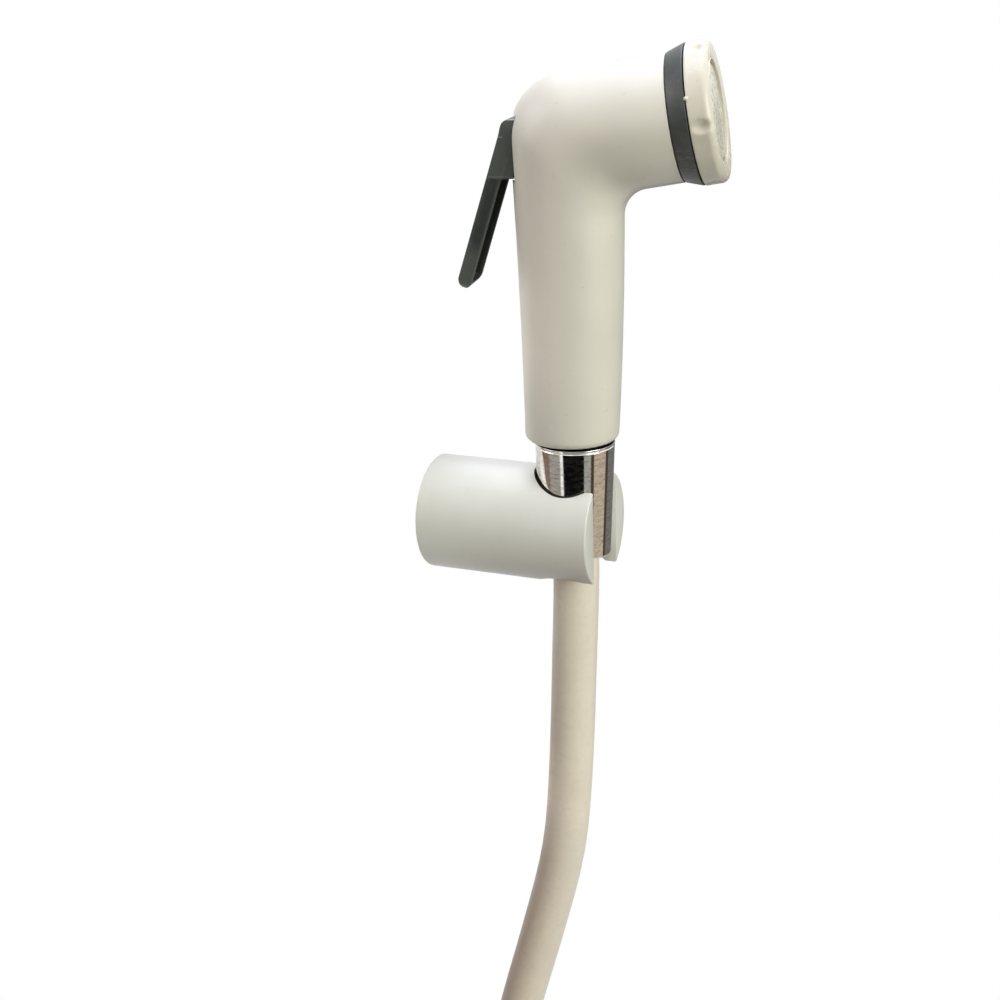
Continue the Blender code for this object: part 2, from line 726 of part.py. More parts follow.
def trigger_lever(frame):
    half = LEVER_WIDTH / 2
    bm = prism("lever", lever_outline(), -half, half)
    bmesh.ops.recalc_face_normals(bm, faces=bm.faces)
    tip, up, out = lever_bar()
    back_edges = []
    for edge in bm.edges:
        a, b = edge.verts
        same_side = abs(a.co.y - b.co.y) < 1e-6
        behind = [out.dot(Vector((v.co.x, v.co.z)) - tip) > 0.95 * LEVER_THICKNESS / 2 for v in (a, b)]
        if same_side and all(behind):
            back_edges.append(edge)
    bmesh.ops.bevel(
        bm, geom=back_edges, offset=LEVER_EDGE_ROUND, segments=2, profile=0.5,
        affect="EDGES", offset_type="OFFSET", clamp_overlap=True, material=-1,
    )
    obj = place(object_from("trigger_lever", bm), GREY, frame)
    boolean(obj, lever_corners(frame), "INTERSECT")
    boolean(obj, lever_channel(frame))
    reach = half + TRUNNION_REACH
    trunnions = hide_as_cutter(
        rod("trunnions", TRUNNION_RADIUS, 2 * reach, SMALL_STEPS),
        frame, (-PIVOT_SETBACK, -reach, PIVOT_HEIGHT), (-pi / 2, 0, 0),
    )
    boolean(obj, trunnions, "UNION")


def stem_end():
    """Place of the stem's rear end along the valve's axis, just off the lever's front face."""
    height = HEAD_AXIS_HEIGHT - VALVE_DROP / cos(HEAD_TILT) - BLOCK_FRONT * tan(HEAD_TILT)
    x, z = -BLOCK_FRONT, height - HEAD_AXIS_HEIGHT
    return x * cos(HEAD_TILT) + z * sin(HEAD_TILT) + TAIL_CLEARANCE


def valve_stem(valve):
    rear = stem_end()
    floor = RING_CENTRE_RADIUS - RING_SECTION_RADIUS - GAP
    profile = [
        (0, rear),
        (STEM_RADIUS - STEM_TAIL_ROUND, rear),
        (STEM_RADIUS, rear + STEM_TAIL_ROUND),
        (STEM_RADIUS, REAR_RING_PLACE - RING_GROOVE_HALF_WIDTH),
        (floor, REAR_RING_PLACE - RING_GROOVE_HALF_WIDTH),
        (floor, REAR_RING_PLACE + RING_GROOVE_HALF_WIDTH),
        (STEM_RADIUS, REAR_RING_PLACE + RING_GROOVE_HALF_WIDTH),
        (STEM_RADIUS, CHAMBER_START),
        (STEM_WAIST_RADIUS, CHAMBER_START + STEM_WAIST_SLOPE),
        (STEM_WAIST_RADIUS, CHAMBER_END),
        (STEM_RADIUS, FRONT_RING_PLACE - 2 * RING_GROOVE_HALF_WIDTH),
        (STEM_RADIUS, FRONT_RING_PLACE - RING_GROOVE_HALF_WIDTH),
        (floor, FRONT_RING_PLACE - RING_GROOVE_HALF_WIDTH),
        (floor, FRONT_RING_PLACE + RING_GROOVE_HALF_WIDTH),
        (STEM_RADIUS, FRONT_RING_PLACE + RING_GROOVE_HALF_WIDTH),
        (STEM_RADIUS, STEM_FLANGE_BACK),
        (STEM_FLANGE_RADIUS, STEM_FLANGE_BACK),
        (STEM_FLANGE_RADIUS, STEM_FLANGE_BACK + STEM_FLANGE_THICKNESS),
        (STEM_GUIDE_RADIUS, STEM_FLANGE_BACK + STEM_FLANGE_THICKNESS),
        (STEM_GUIDE_RADIUS, STEM_FLANGE_BACK + STEM_FLANGE_THICKNESS + STEM_GUIDE_LENGTH),
        (0, STEM_FLANGE_BACK + STEM_FLANGE_THICKNESS + STEM_GUIDE_LENGTH),
    ]
    place(turned("valve_stem", profile, SMALL_STEPS), BRASS, valve)
    for name, where in (("stem_ring_rear", REAR_RING_PLACE), ("stem_ring_front", FRONT_RING_PLACE)):
        section = arc((RING_CENTRE_RADIUS, where), RING_SECTION_RADIUS, 0, 2 * pi, 6)[:-1]
        place(turned(name, section, SMALL_STEPS), RUBBER, valve)


def return_spring(valve):
    start = STEM_FLANGE_BACK + STEM_FLANGE_THICKNESS + SPRING_WIRE_RADIUS + GAP
    end = INSERT_LEDGE + GAP - SPRING_CUP_LENGTH + SPRING_CUP_DEPTH - SPRING_WIRE_RADIUS - GAP
    count = round(SPRING_TURNS * SPRING_POINTS_PER_TURN)
    points = []
    for i in range(count + 1):
        share = i / count
        # the end turns lie flat
        rise = (share * SPRING_TURNS - SPRING_FLAT_TURNS) / (SPRING_TURNS - 2 * SPRING_FLAT_TURNS)
        angle = 2 * pi * SPRING_TURNS * share
        points.append((
            SPRING_RADIUS * cos(angle), SPRING_RADIUS * sin(angle),
            start + (end - start) * min(1.0, max(0.0, rise)),
        ))
    place(tube("return_spring", points, SPRING_WIRE_RADIUS, 1), STEEL, valve)


# Parts in the front of the head

def flow_insert(head, valve):
    back = INSERT_LEDGE + GAP
    outside = HEAD_CAVITY_RADIUS - GAP
    inside = outside - INSERT_RIM_WALL
    obj = place(turned("flow_insert", [
        (0, back),
        (outside, back),
        (outside, PLATE_FRONT - GAP),
        (inside, PLATE_FRONT - GAP),
        (inside, back + INSERT_DISC_THICKNESS),
        (0, back + INSERT_DISC_THICKNESS),
    ]), POM, head)
    cup = hide_as_cutter(
        rod("spring cup", SPRING_CUP_RADIUS, SPRING_CUP_LENGTH + CUTTER_OVERSHOOT, SMALL_STEPS),
        valve, (0, 0, back - SPRING_CUP_LENGTH),
    )
    boolean(obj, cup, "UNION")
    recess_radius = SPRING_RADIUS + SPRING_WIRE_RADIUS + GAP
    recess = hide_as_cutter(
        rod("spring recess", recess_radius, SPRING_CUP_DEPTH + CUTTER_OVERSHOOT, SMALL_STEPS),
        valve, (0, 0, back - SPRING_CUP_LENGTH - CUTTER_OVERSHOOT),
    )
    boolean(obj, recess)
    bm = bmesh.new()
    for i in range(INSERT_HOLE_COUNT):
        # the holes stay clear of the spring cup, which lies on the lower side
        angle = pi + INSERT_HOLE_SPREAD * (i / (INSERT_HOLE_COUNT - 1) - 0.5)
        at = Matrix.Translation((
            INSERT_HOLE_CIRCLE * cos(angle), INSERT_HOLE_CIRCLE * sin(angle),
            back + INSERT_DISC_THICKNESS / 2,
        ))
        bmesh.ops.create_cone(
            bm, cap_ends=True, segments=INSERT_HOLE_SIDES, radius1=INSERT_HOLE_RADIUS,
            radius2=INSERT_HOLE_RADIUS, depth=2 * INSERT_DISC_THICKNESS, matrix=at,
        )
    holes = hide_as_cutter(object_from("flow holes", bm), head)
    boolean(obj, holes)


def spray_plate(head):
    flange = THREAD_RADIUS - 2 * GAP
    field_top = PLATE_FRONT + PLATE_FLANGE_THICKNESS + SPRAY_FIELD_HEIGHT
    obj = place(turned("spray_plate", [
        (0, PLATE_FRONT),
        (flange, PLATE_FRONT),
        (flange, PLATE_FRONT + PLATE_FLANGE_THICKNESS),
        (SPRAY_FIELD_RADIUS, PLATE_FRONT + PLATE_FLANGE_THICKNESS),
        (SPRAY_FIELD_RADIUS - SPRAY_FIELD_SLOPE, field_top),
        (0, field_top),
    ]), CREAM, head)
    bm = bmesh.new()
    middle = (PLATE_FRONT + field_top) / 2
    spots = [(0.0, 0.0)]
    for ring in range(1, SPRAY_RINGS + 1):
        for i in range(6 * ring):
            angle = 2 * pi * i / (6 * ring)
            spots.append((ring * SPRAY_RING_PITCH * cos(angle), ring * SPRAY_RING_PITCH * sin(angle)))
    for x, y in spots:
        bmesh.ops.create_cone(
            bm, cap_ends=True, segments=SPRAY_HOLE_SIDES, radius1=SPRAY_HOLE_RADIUS,
            radius2=SPRAY_HOLE_RADIUS, depth=2 * (field_top - PLATE_FRONT),
            matrix=Matrix.Translation((x, y, middle)),
        )
    holes = hide_as_cutter(object_from("spray holes", bm), head)
    boolean(obj, holes)


def face_gasket(head):
    low, high = SPIGOT_END + GAP, SPIGOT_END + GAP + GASKET_THICKNESS
    inside, outside = HEAD_CAVITY_RADIUS + GAP, SPIGOT_RADIUS
    place(turned("face_gasket", [(inside, low), (outside, low), (outside, high), (inside, high)]),
          RUBBER, head)


def head_ring(head):
    low = SHOULDER + GAP
    high = low + HEAD_RING_LENGTH
    place(turned("head_ring", [
        (THREAD_RADIUS, low),
        (HEAD_RADIUS - SMALL_EDGE, low),
        (HEAD_RADIUS, low + SMALL_EDGE),
        (CAP_RADIUS, high - SMALL_EDGE),
        (CAP_RADIUS - SMALL_EDGE, high),
        (THREAD_RADIUS, high),
    ]), GREY, head)


def face_cap(head):
    lip_back = CAP_FRONT - CAP_LIP_THICKNESS
    lip_radius = THREAD_RADIUS - CAP_LIP_WIDTH
    corner = (CAP_RADIUS - CAP_EDGE_ROUND, CAP_FRONT - CAP_EDGE_ROUND)
    profile = [
        (THREAD_RADIUS, CAP_BACK),
        (CAP_RADIUS - SMALL_EDGE, CAP_BACK),
        (CAP_RADIUS, CAP_BACK + SMALL_EDGE),
    ]
    profile += arc(corner, CAP_EDGE_ROUND, 0, pi / 2, 4)
    profile += [
        (lip_radius + SMALL_EDGE, CAP_FRONT),
        (lip_radius, CAP_FRONT - SMALL_EDGE),
        (lip_radius, lip_back),
        (THREAD_RADIUS, lip_back),
    ]
    obj = place(turned("face_cap", profile, LARGE_STEPS), CREAM, head)
    middle = CAP_BACK + CAP_LENGTH / 2
    bm = bmesh.new()
    for i in range(NOTCH_COUNT):
        # up is -X in the head's frame, and the near side is -Y
        angle = NOTCH_FIRST_ANGLE + 2 * pi * i / NOTCH_COUNT
        towards = Vector((-sin(angle), -cos(angle), 0))
        turn = Matrix.Rotation(atan2(towards.y, towards.x), 4, "Z")
        size = Matrix.Diagonal((NOTCH_DEPTH, NOTCH_HALF_WIDTH, NOTCH_HALF_LENGTH, 1))
        at = Matrix.Translation(towards * CAP_RADIUS + Vector((0, 0, middle)))
        bmesh.ops.create_uvsphere(
            bm, u_segments=12, v_segments=7, radius=1.0, matrix=at @ turn @ size
        )
    notches = hide_as_cutter(object_from("grip notches", bm), head)
    boolean(obj, notches)


# Hose nut and what it clamps

def nut_radius(height):
    """Outside radius of the conical nut at a height."""
    share = (height - NUT_BOTTOM_HEIGHT) / (NUT_TOP_HEIGHT - NUT_BOTTOM_HEIGHT)
    return NUT_BOTTOM_RADIUS + (NUT_TOP_RADIUS - NUT_BOTTOM_RADIUS) * share


def barbed_insert(name, flange_top, tail_end, thickness, parent):
    """Brass insert with a flange at the top and a barbed tail that points down."""
    flange_low = flange_top - thickness
    profile = [
        (INSERT_TAIL_BORE_RADIUS, flange_top),
        (FLANGE_RADIUS, flange_top),
        (FLANGE_RADIUS, flange_low),
        (INSERT_TAIL_RADIUS, flange_low),
    ]
    for i in range(BARB_COUNT):
        top = flange_low - BARB_START - i * BARB_PITCH
        if top - BARB_PITCH > tail_end:
            profile.append((INSERT_TAIL_RADIUS, top))
            profile.append((INSERT_TAIL_RADIUS + BARB_HEIGHT, top))
            profile.append((INSERT_TAIL_RADIUS, top - BARB_SHARE * BARB_PITCH))
    profile += [(INSERT_TAIL_RADIUS, tail_end), (INSERT_TAIL_BORE_RADIUS, tail_end)]
    return place(turned(name, profile, SMALL_STEPS), BRASS, parent)


def inlet_joint(frame):
    """The conical nut, its washer, and the insert and sleeve in the hose's upper end."""
    washer_top = NIPPLE_END_HEIGHT - GAP
    washer_low = washer_top - WASHER_THICKNESS
    flange_top = washer_low - GAP
    shoulder = flange_top - INSERT_FLANGE_THICKNESS - GAP
    bead_low = NUT_TOP_HEIGHT - NUT_BEAD_HEIGHT
    groove_low = bead_low - NUT_GROOVE_WIDTH
    foot = NUT_BOTTOM_HEIGHT
    place(turned("hose_nut", [
        (NUT_THREAD_RADIUS, NUT_TOP_HEIGHT),
        (NUT_TOP_RADIUS - SMALL_EDGE, NUT_TOP_HEIGHT),
        (NUT_TOP_RADIUS, NUT_TOP_HEIGHT - SMALL_EDGE),
        (NUT_TOP_RADIUS, bead_low + NUT_GROOVE_DEPTH),
        (NUT_TOP_RADIUS - NUT_GROOVE_DEPTH, bead_low),
        (NUT_TOP_RADIUS - NUT_GROOVE_DEPTH, groove_low),
        (nut_radius(groove_low - NUT_GROOVE_DEPTH), groove_low - NUT_GROOVE_DEPTH),
        (nut_radius(foot + NUT_FOOT_CHAMFER), foot + NUT_FOOT_CHAMFER),
        (NUT_BOTTOM_RADIUS - NUT_FOOT_CHAMFER, foot),
        (NUT_HOSE_HOLE_RADIUS, foot),
        (NUT_HOSE_HOLE_RADIUS, shoulder),
        (NUT_THREAD_RADIUS, shoulder),
    ], LARGE_STEPS), CHROME, frame)
    place(turned("inlet_washer", [
        (NIPPLE_BORE_RADIUS, washer_low), (NIPPLE_RADIUS - GAP, washer_low),
        (NIPPLE_RADIUS - GAP, washer_top), (NIPPLE_BORE_RADIUS, washer_top),
    ], SMALL_STEPS), RUBBER, frame)
    tail_end = HOSE_ROUTE[0][1] + GAP + INSERT_TAIL_INSET
    barbed_insert("hose_insert", flange_top, tail_end, INSERT_FLANGE_THICKNESS, frame)
    sleeve_inside = INSERT_TAIL_RADIUS + BARB_HEIGHT + GAP
    sleeve_low = HOSE_ROUTE[0][1] + GAP
    sleeve_top = flange_top - INSERT_FLANGE_THICKNESS - GAP
    place(turned("hose_ferrule", [
        (sleeve_inside, sleeve_low), (HOSE_RADIUS, sleeve_low),
        (HOSE_RADIUS, sleeve_top), (sleeve_inside, sleeve_top),
    ], SMALL_STEPS), STEEL, frame)


# Wall cradle, plate and screws

def holder_body():
    obj = turned("holder_body", [
        (0, 0.0),
        (CRADLE_RADIUS - CRADLE_EDGE, 0.0),
        (CRADLE_RADIUS, CRADLE_EDGE),
        (CRADLE_RADIUS, CRADLE_LENGTH - CRADLE_EDGE),
        (CRADLE_RADIUS - CRADLE_EDGE, CRADLE_LENGTH),
        (0, CRADLE_LENGTH),
    ], LARGE_STEPS)
    place(obj, HOLDER_WHITE, None, (0, 0, 0), (0, pi / 2, 0))
    snap = GAP + SNAP_HEIGHT
    cavity = hide_as_cutter(turned("cradle cavity", [
        (0, -CUTTER_OVERSHOOT),
        (CAVITY_RADIUS, -CUTTER_OVERSHOOT),
        (CAVITY_RADIUS, SNAP_PLACE - SNAP_WIDTH),
        (CAVITY_RADIUS + snap, SNAP_PLACE - SNAP_WIDTH / 2),
        (CAVITY_RADIUS + snap, SNAP_PLACE + SNAP_WIDTH / 2),
        (CAVITY_RADIUS, SNAP_PLACE + SNAP_WIDTH),
        (CAVITY_RADIUS, CAVITY_DEPTH - CAVITY_END_CHAMFER),
        (CAVITY_RADIUS - CAVITY_END_CHAMFER, CAVITY_DEPTH),
        (0, CAVITY_DEPTH),
    ]), None, (0, 0, 0), (0, pi / 2, 0))
    ledge_top = NUT_BOTTOM_HEIGHT - GAP
    over = CRADLE_CUTTER_OVERSHOOT
    mouth = sqrt(CRADLE_RADIUS ** 2 - BORE_MOUTH_RADIUS ** 2)
    slope = (BORE_MOUTH_RADIUS - BORE_SEAT_RADIUS) / (mouth - ledge_top)
    top = CRADLE_RADIUS + over
    bore = hide_as_cutter(turned("cradle bore", [
        (0, ledge_top),
        (BORE_SEAT_RADIUS, ledge_top),
        (BORE_SEAT_RADIUS + slope * (top - ledge_top), top),
        (0, top),
    ], LARGE_STEPS), None, (BORE_FROM_WALL, 0, 0))
    # below the ledge: a small hole for the hose behind, the full width in front
    front = SEAT_LEDGE_FRONT_ANGLE
    outline = arc((0, 0), SEAT_LEDGE_HOLE_RADIUS, front, 2 * pi - front, 16)
    outline += arc((0, 0), BORE_SEAT_RADIUS, -front, front, 14)
    below = prism("cradle foot", outline, -CRADLE_RADIUS - over, ledge_top + CUTTER_OVERSHOOT / 2, True)
    foot = hide_as_cutter(object_from("cradle foot", below), None, (BORE_FROM_WALL, 0, 0))
    slot = hide_as_cutter(block(
        "cradle slot",
        (BORE_FROM_WALL + SLOT_START, -SLOT_WIDTH / 2, -CRADLE_RADIUS - over),
        (CRADLE_LENGTH + over, SLOT_WIDTH / 2, top),
    ))
    for cutter in (cavity, bore, foot, slot):
        boolean(obj, cutter)
    lowest_ledge = ledge_top - SEAT_LEDGE_THICKNESS
    relief = hide_as_cutter(rod(
        "ledge relief", BORE_SEAT_RADIUS, lowest_ledge + CRADLE_RADIUS + over, LARGE_STEPS
    ), None, (BORE_FROM_WALL, 0, -CRADLE_RADIUS - over))
    boolean(obj, relief)


def wall_plate():
    collar_end = PLATE_THICKNESS + PLATE_COLLAR_LENGTH
    collar_inside = COLLAR_RADIUS - PLATE_COLLAR_WALL
    obj = place(turned("wall_plate", [
        (0, 0.0),
        (COLLAR_RADIUS, 0.0),
        (COLLAR_RADIUS, SNAP_PLACE - SNAP_WIDTH),
        (COLLAR_RADIUS + SNAP_HEIGHT, SNAP_PLACE - SNAP_WIDTH / 2),
        (COLLAR_RADIUS + SNAP_HEIGHT, SNAP_PLACE + SNAP_WIDTH / 2),
        (COLLAR_RADIUS, SNAP_PLACE + SNAP_WIDTH),
        (COLLAR_RADIUS - COLLAR_EDGE, collar_end),
        (collar_inside, collar_end),
        (collar_inside, PLATE_THICKNESS),
        (0, PLATE_THICKNESS),
    ]), HOLDER_WHITE, None, (0, 0, 0), (0, pi / 2, 0))
    for i, side in enumerate((1, -1)):
        hole = hide_as_cutter(turned(f"plate hole {i + 1}", [
            (0, -CUTTER_OVERSHOOT),
            (SCREW_SHANK_RADIUS + GAP, -CUTTER_OVERSHOOT),
            (SCREW_SHANK_RADIUS + GAP, PLATE_THICKNESS - SCREW_HEAD_HEIGHT),
            (SCREW_HEAD_RADIUS + GAP, PLATE_THICKNESS),
            (SCREW_HEAD_RADIUS + GAP, PLATE_THICKNESS + CUTTER_OVERSHOOT),
            (0, PLATE_THICKNESS + CUTTER_OVERSHOOT),
        ], SMALL_STEPS), None, (0, 0, side * SCREW_SPACING / 2), (0, pi / 2, 0))
        boolean(obj, hole)


def wall_screws():
    head_top = PLATE_THICKNESS
    head_low = head_top - SCREW_HEAD_HEIGHT
    tip = head_top - SCREW_LENGTH
    bm = bmesh.new()
    for turn in (0, pi / 2):
        size = Matrix.Diagonal((SCREW_DRIVE_SPAN, SCREW_DRIVE_WIDTH, 2 * SCREW_DRIVE_DEPTH, 1))
        bmesh.ops.create_cube(
            bm, size=1.0,
            matrix=Matrix.Translation((0, 0, head_top)) @ Matrix.Rotation(turn, 4, "Z") @ size,
        )
        if turn == 0:
            drive = object_from("drive slot", bm)
            bm = bmesh.new()
        else:
            cross = object_from("drive cross slot", bm)
    for name, side in (("wall_screw_upper", 1), ("wall_screw_lower", -1)):
        spot, turn = (0, 0, side * SCREW_SPACING / 2), (0, pi / 2, 0)
        obj = place(turned(name, [
            (0, head_top),
            (SCREW_HEAD_RADIUS, head_top),
            (SCREW_HEAD_RADIUS, head_top - SCREW_HEAD_EDGE),
            (SCREW_SHANK_RADIUS, head_low),
            (SCREW_SHANK_RADIUS, tip + SCREW_TIP_LENGTH),
            (0, tip),
        ], SMALL_STEPS), STEEL, None, spot, turn)
        for shape in (drive, cross):
            cutter = hide_as_cutter(
                bpy.data.objects.new(f"{shape.name} {name}", shape.data), None, spot, turn
            )
            boolean(obj, cutter)
    for shape in (drive, cross):
        bpy.data.objects.remove(shape)


# Hose, coil and supply end

def coil_end_height(route_length):
    """Height of the hose's lower end, which hangs straight down from the coil."""
    turns = COIL_TURNS * 2 * pi * COIL_RADIUS
    return COIL_CENTRE_HEIGHT - (HOSE_LENGTH - route_length - turns)


def hose():
    """The hose down to the coil, the coil as one turned ring, the tail and the supply end."""
    outer = COIL_RADIUS + HOSE_RADIUS + GAP
    inner_side = COIL_RADIUS - HOSE_RADIUS
    meet = COIL_CENTRE_HEIGHT + sqrt((outer + GAP) ** 2 - inner_side ** 2)
    route = [(x, 0, z) for x, z in HOSE_ROUTE]
    points, length = smooth_route(route, HOSE_POINT_SPACING)
    above = [p for p in points if p.z > meet + 0.25 * HOSE_POINT_SPACING]
    before = above[-1]
    after = points[len(above)]
    share = (before.z - meet) / (before.z - after.z)
    above.append(before.lerp(after, share))
    place(tube("hose", above, HOSE_RADIUS, 3), HOSE_CREAM)

    pitch = 2 * (HOSE_RADIUS + GAP)
    near = (COIL_RADIUS, COIL_LAYER_OFFSET)
    far = (COIL_RADIUS, COIL_LAYER_OFFSET + (COIL_TURNS - 1) * pitch)
    section = arc(far, HOSE_RADIUS, 0, pi, 5) + arc(near, HOSE_RADIUS, pi, 2 * pi, 5)
    place(turned("hose_coil", section, LARGE_STEPS), HOSE_CREAM, None,
          (0, -COIL_RADIUS, COIL_CENTRE_HEIGHT), (0, pi / 2, 0))

    tail_offset = far[1] + pitch
    end = coil_end_height(length)
    top = COIL_CENTRE_HEIGHT + HOSE_RADIUS
    tail_points = [(tail_offset, 0, top + (end - top) * i / 3) for i in range(4)]
    place(tube("hose_tail", tail_points, HOSE_RADIUS, 3), HOSE_CREAM)
    coil_tie(near, far)
    supply_end(new_empty("supply end", None, (tail_offset, 0, end)))


def coil_tie(near, far):
    """A band round the coil's turns, at the top of the coil."""
    inside = HOSE_RADIUS + BAND_CLEARANCE
    bm = bmesh.new()
    loops = []
    for radius in (inside, inside + TIE_THICKNESS):
        outline = arc((far[1], 0), radius, -pi / 2, pi / 2, 8)
        outline += arc((near[1], 0), radius, pi / 2, 3 * pi / 2, 8)
        loops.append([bm.verts.new((x, -TIE_WIDTH / 2, z)) for x, z in outline])
    count = len(loops[0])
    flat = []
    for i in range(count):
        j = (i + 1) % count
        flat.append(bm.faces.new((loops[0][i], loops[0][j], loops[1][j], loops[1][i])))
    made = bmesh.ops.extrude_face_region(bm, geom=flat)["geom"]
    moved = [item for item in made if isinstance(item, bmesh.types.BMVert)]
    bmesh.ops.translate(bm, vec=(0, TIE_WIDTH, 0), verts=moved)
    place(object_from("coil_tie", bm), TIE_WHITE, None,
          (0, -COIL_RADIUS, COIL_CENTRE_HEIGHT + COIL_RADIUS))


def supply_end(frame):
    """The hexagon nut, insert, sleeve and washer on the hose's lower end, below the frame's origin."""
    neck_top = SUPPLY_NUT_ABOVE_HOSE_END
    hex_top = neck_top - SUPPLY_NUT_NECK_LENGTH
    hex_low = hex_top - SUPPLY_NUT_HEX_LENGTH
    shoulder = hex_low + SUPPLY_NUT_THREAD_DEPTH
    corner = SUPPLY_NUT_ACROSS_FLATS / 2 / cos(pi / 6)
    bm = bmesh.new()
    bmesh.ops.create_cone(
        bm, cap_ends=True, segments=6, radius1=corner, radius2=corner,
        depth=SUPPLY_NUT_HEX_LENGTH, matrix=Matrix.Translation((0, 0, (hex_top + hex_low) / 2)),
    )
    nut = place(object_from("supply_nut", bm), CHROME, frame)
    over = CUTTER_OVERSHOOT
    rounding = SUPPLY_NUT_ACROSS_FLATS / 2 + SUPPLY_NUT_CORNER_START
    rounder = hide_as_cutter(turned("nut corners", [
        (0, hex_low - over),
        (rounding - over, hex_low - over),
        (corner + over, hex_low + SUPPLY_NUT_CORNER_DROP),
        (corner + over, hex_top - SUPPLY_NUT_CORNER_DROP),
        (rounding - over, hex_top + over),
        (0, hex_top + over),
    ], SMALL_STEPS), frame)
    boolean(nut, rounder, "INTERSECT")
    neck = hide_as_cutter(turned("nut neck", [
        (0, hex_top - over),
        (SUPPLY_NUT_NECK_RADIUS, hex_top - over),
        (SUPPLY_NUT_NECK_RADIUS, neck_top - SUPPLY_NUT_EDGE),
        (SUPPLY_NUT_NECK_RADIUS - SUPPLY_NUT_EDGE, neck_top),
        (0, neck_top),
    ], SMALL_STEPS), frame)
    boolean(nut, neck, "UNION")
    bore = hide_as_cutter(turned("nut bore", [
        (0, hex_low - over),
        (NUT_THREAD_RADIUS, hex_low - over),
        (NUT_THREAD_RADIUS, shoulder),
        (NUT_HOSE_HOLE_RADIUS, shoulder),
        (NUT_HOSE_HOLE_RADIUS, neck_top + over),
        (0, neck_top + over),
    ], SMALL_STEPS), frame)
    boolean(nut, bore)
    flange_top = shoulder - GAP
    flange_low = flange_top - INSERT_FLANGE_THICKNESS
    sleeve_low = flange_top + GAP
    place(turned("tail_insert", [
        (INSERT_TAIL_BORE_RADIUS, flange_low),
        (FLANGE_RADIUS, flange_low),
        (FLANGE_RADIUS, flange_top),
        (INSERT_TAIL_RADIUS, flange_top),
        (INSERT_TAIL_RADIUS, -GAP - INSERT_TAIL_INSET),
        (INSERT_TAIL_BORE_RADIUS, -GAP - INSERT_TAIL_INSET),
    ], SMALL_STEPS), BRASS, frame)
    sleeve_inside = INSERT_TAIL_RADIUS + GAP
    place(turned("tail_ferrule", [
        (sleeve_inside, sleeve_low), (HOSE_RADIUS, sleeve_low),
        (HOSE_RADIUS, -GAP), (sleeve_inside, -GAP),
    ], SMALL_STEPS), STEEL, frame)
    washer_top = flange_low - GAP
    washer_low = washer_top - WASHER_THICKNESS
    place(turned("supply_washer", [
        (NIPPLE_BORE_RADIUS, washer_low), (NIPPLE_RADIUS - GAP, washer_low),
        (NIPPLE_RADIUS - GAP, washer_top), (NIPPLE_BORE_RADIUS, washer_top),
    ], SMALL_STEPS), RUBBER, frame)


def build():
    frame = new_empty("handset", None, (BORE_FROM_WALL, 0, 0), (0, 0, HANDSET_TURN))
    tilt = (0, pi / 2 - HEAD_TILT, 0)
    head = new_empty("head axis", frame, (0, 0, HEAD_AXIS_HEIGHT), tilt)
    valve = new_empty("valve axis", head, (VALVE_DROP, 0, 0))
    handset_body(frame, head, valve)
    trigger_lever(frame)
    valve_stem(valve)
    return_spring(valve)
    flow_insert(head, valve)
    face_gasket(head)
    spray_plate(head)
    head_ring(head)
    face_cap(head)
    inlet_joint(frame)
    holder_body()
    wall_plate()
    wall_screws()
    hose()


clear_scene()
PARTS = new_collection("handheld bidet shower")
CUTTERS = new_collection("cutters")
WHITE = new_material("white moulded plastic", (0.80, 0.78, 0.72), 0.35)
HOLDER_WHITE = new_material("cradle white plastic", (0.82, 0.82, 0.79), 0.35)
CREAM = new_material("cream moulded plastic", (0.80, 0.78, 0.69), 0.30)
GREY = new_material("dark grey plastic", (0.06, 0.065, 0.06), 0.45)
CHROME = new_material("chrome plating", (0.80, 0.80, 0.80), 0.08, 1.0)
BRASS = new_material("brass", (0.70, 0.50, 0.22), 0.30, 1.0)
STEEL = new_material("stainless steel", (0.60, 0.60, 0.60), 0.30, 1.0)
RUBBER = new_material("black rubber", (0.03, 0.03, 0.03), 0.70)
POM = new_material("inner white plastic", (0.75, 0.75, 0.75), 0.40)
HOSE_CREAM = new_material("hose vinyl", (0.66, 0.58, 0.48), 0.40)
TIE_WHITE = new_material("tie plastic", (0.75, 0.75, 0.73), 0.50)
build()
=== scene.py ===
"""Surfaces, finishes and stage for a handheld bidet shower in its wall cradle.

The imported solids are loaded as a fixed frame, in metres, with +X out of the wall and +Z up.
Each piece that shows is modelled again with its fine form, and the rest get their finish here.
"""

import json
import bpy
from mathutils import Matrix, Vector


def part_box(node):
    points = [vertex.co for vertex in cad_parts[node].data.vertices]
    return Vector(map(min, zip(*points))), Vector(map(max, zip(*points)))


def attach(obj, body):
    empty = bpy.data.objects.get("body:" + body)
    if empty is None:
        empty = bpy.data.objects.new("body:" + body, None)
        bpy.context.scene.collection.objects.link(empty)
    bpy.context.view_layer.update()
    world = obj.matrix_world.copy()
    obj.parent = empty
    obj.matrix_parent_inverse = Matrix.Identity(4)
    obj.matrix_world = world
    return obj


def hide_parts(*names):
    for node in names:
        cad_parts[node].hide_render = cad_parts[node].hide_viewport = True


bl_info = {
    "name": "Handheld Bidet Shower",
    "version": (1, 0, 0),
    "blender": (4, 5, 0),
    "location": "View3D > Sidebar > Bidet Shower",
    "description": "Models the visible surfaces of a handheld bidet shower and its stage",
    "category": "Object",
}

from functools import partial
from math import asin, atan2, cos, degrees, pi, radians, sin, sqrt

import bmesh
import bpy
from bpy.props import FloatProperty, FloatVectorProperty, IntProperty, PointerProperty
from mathutils import Matrix, Vector

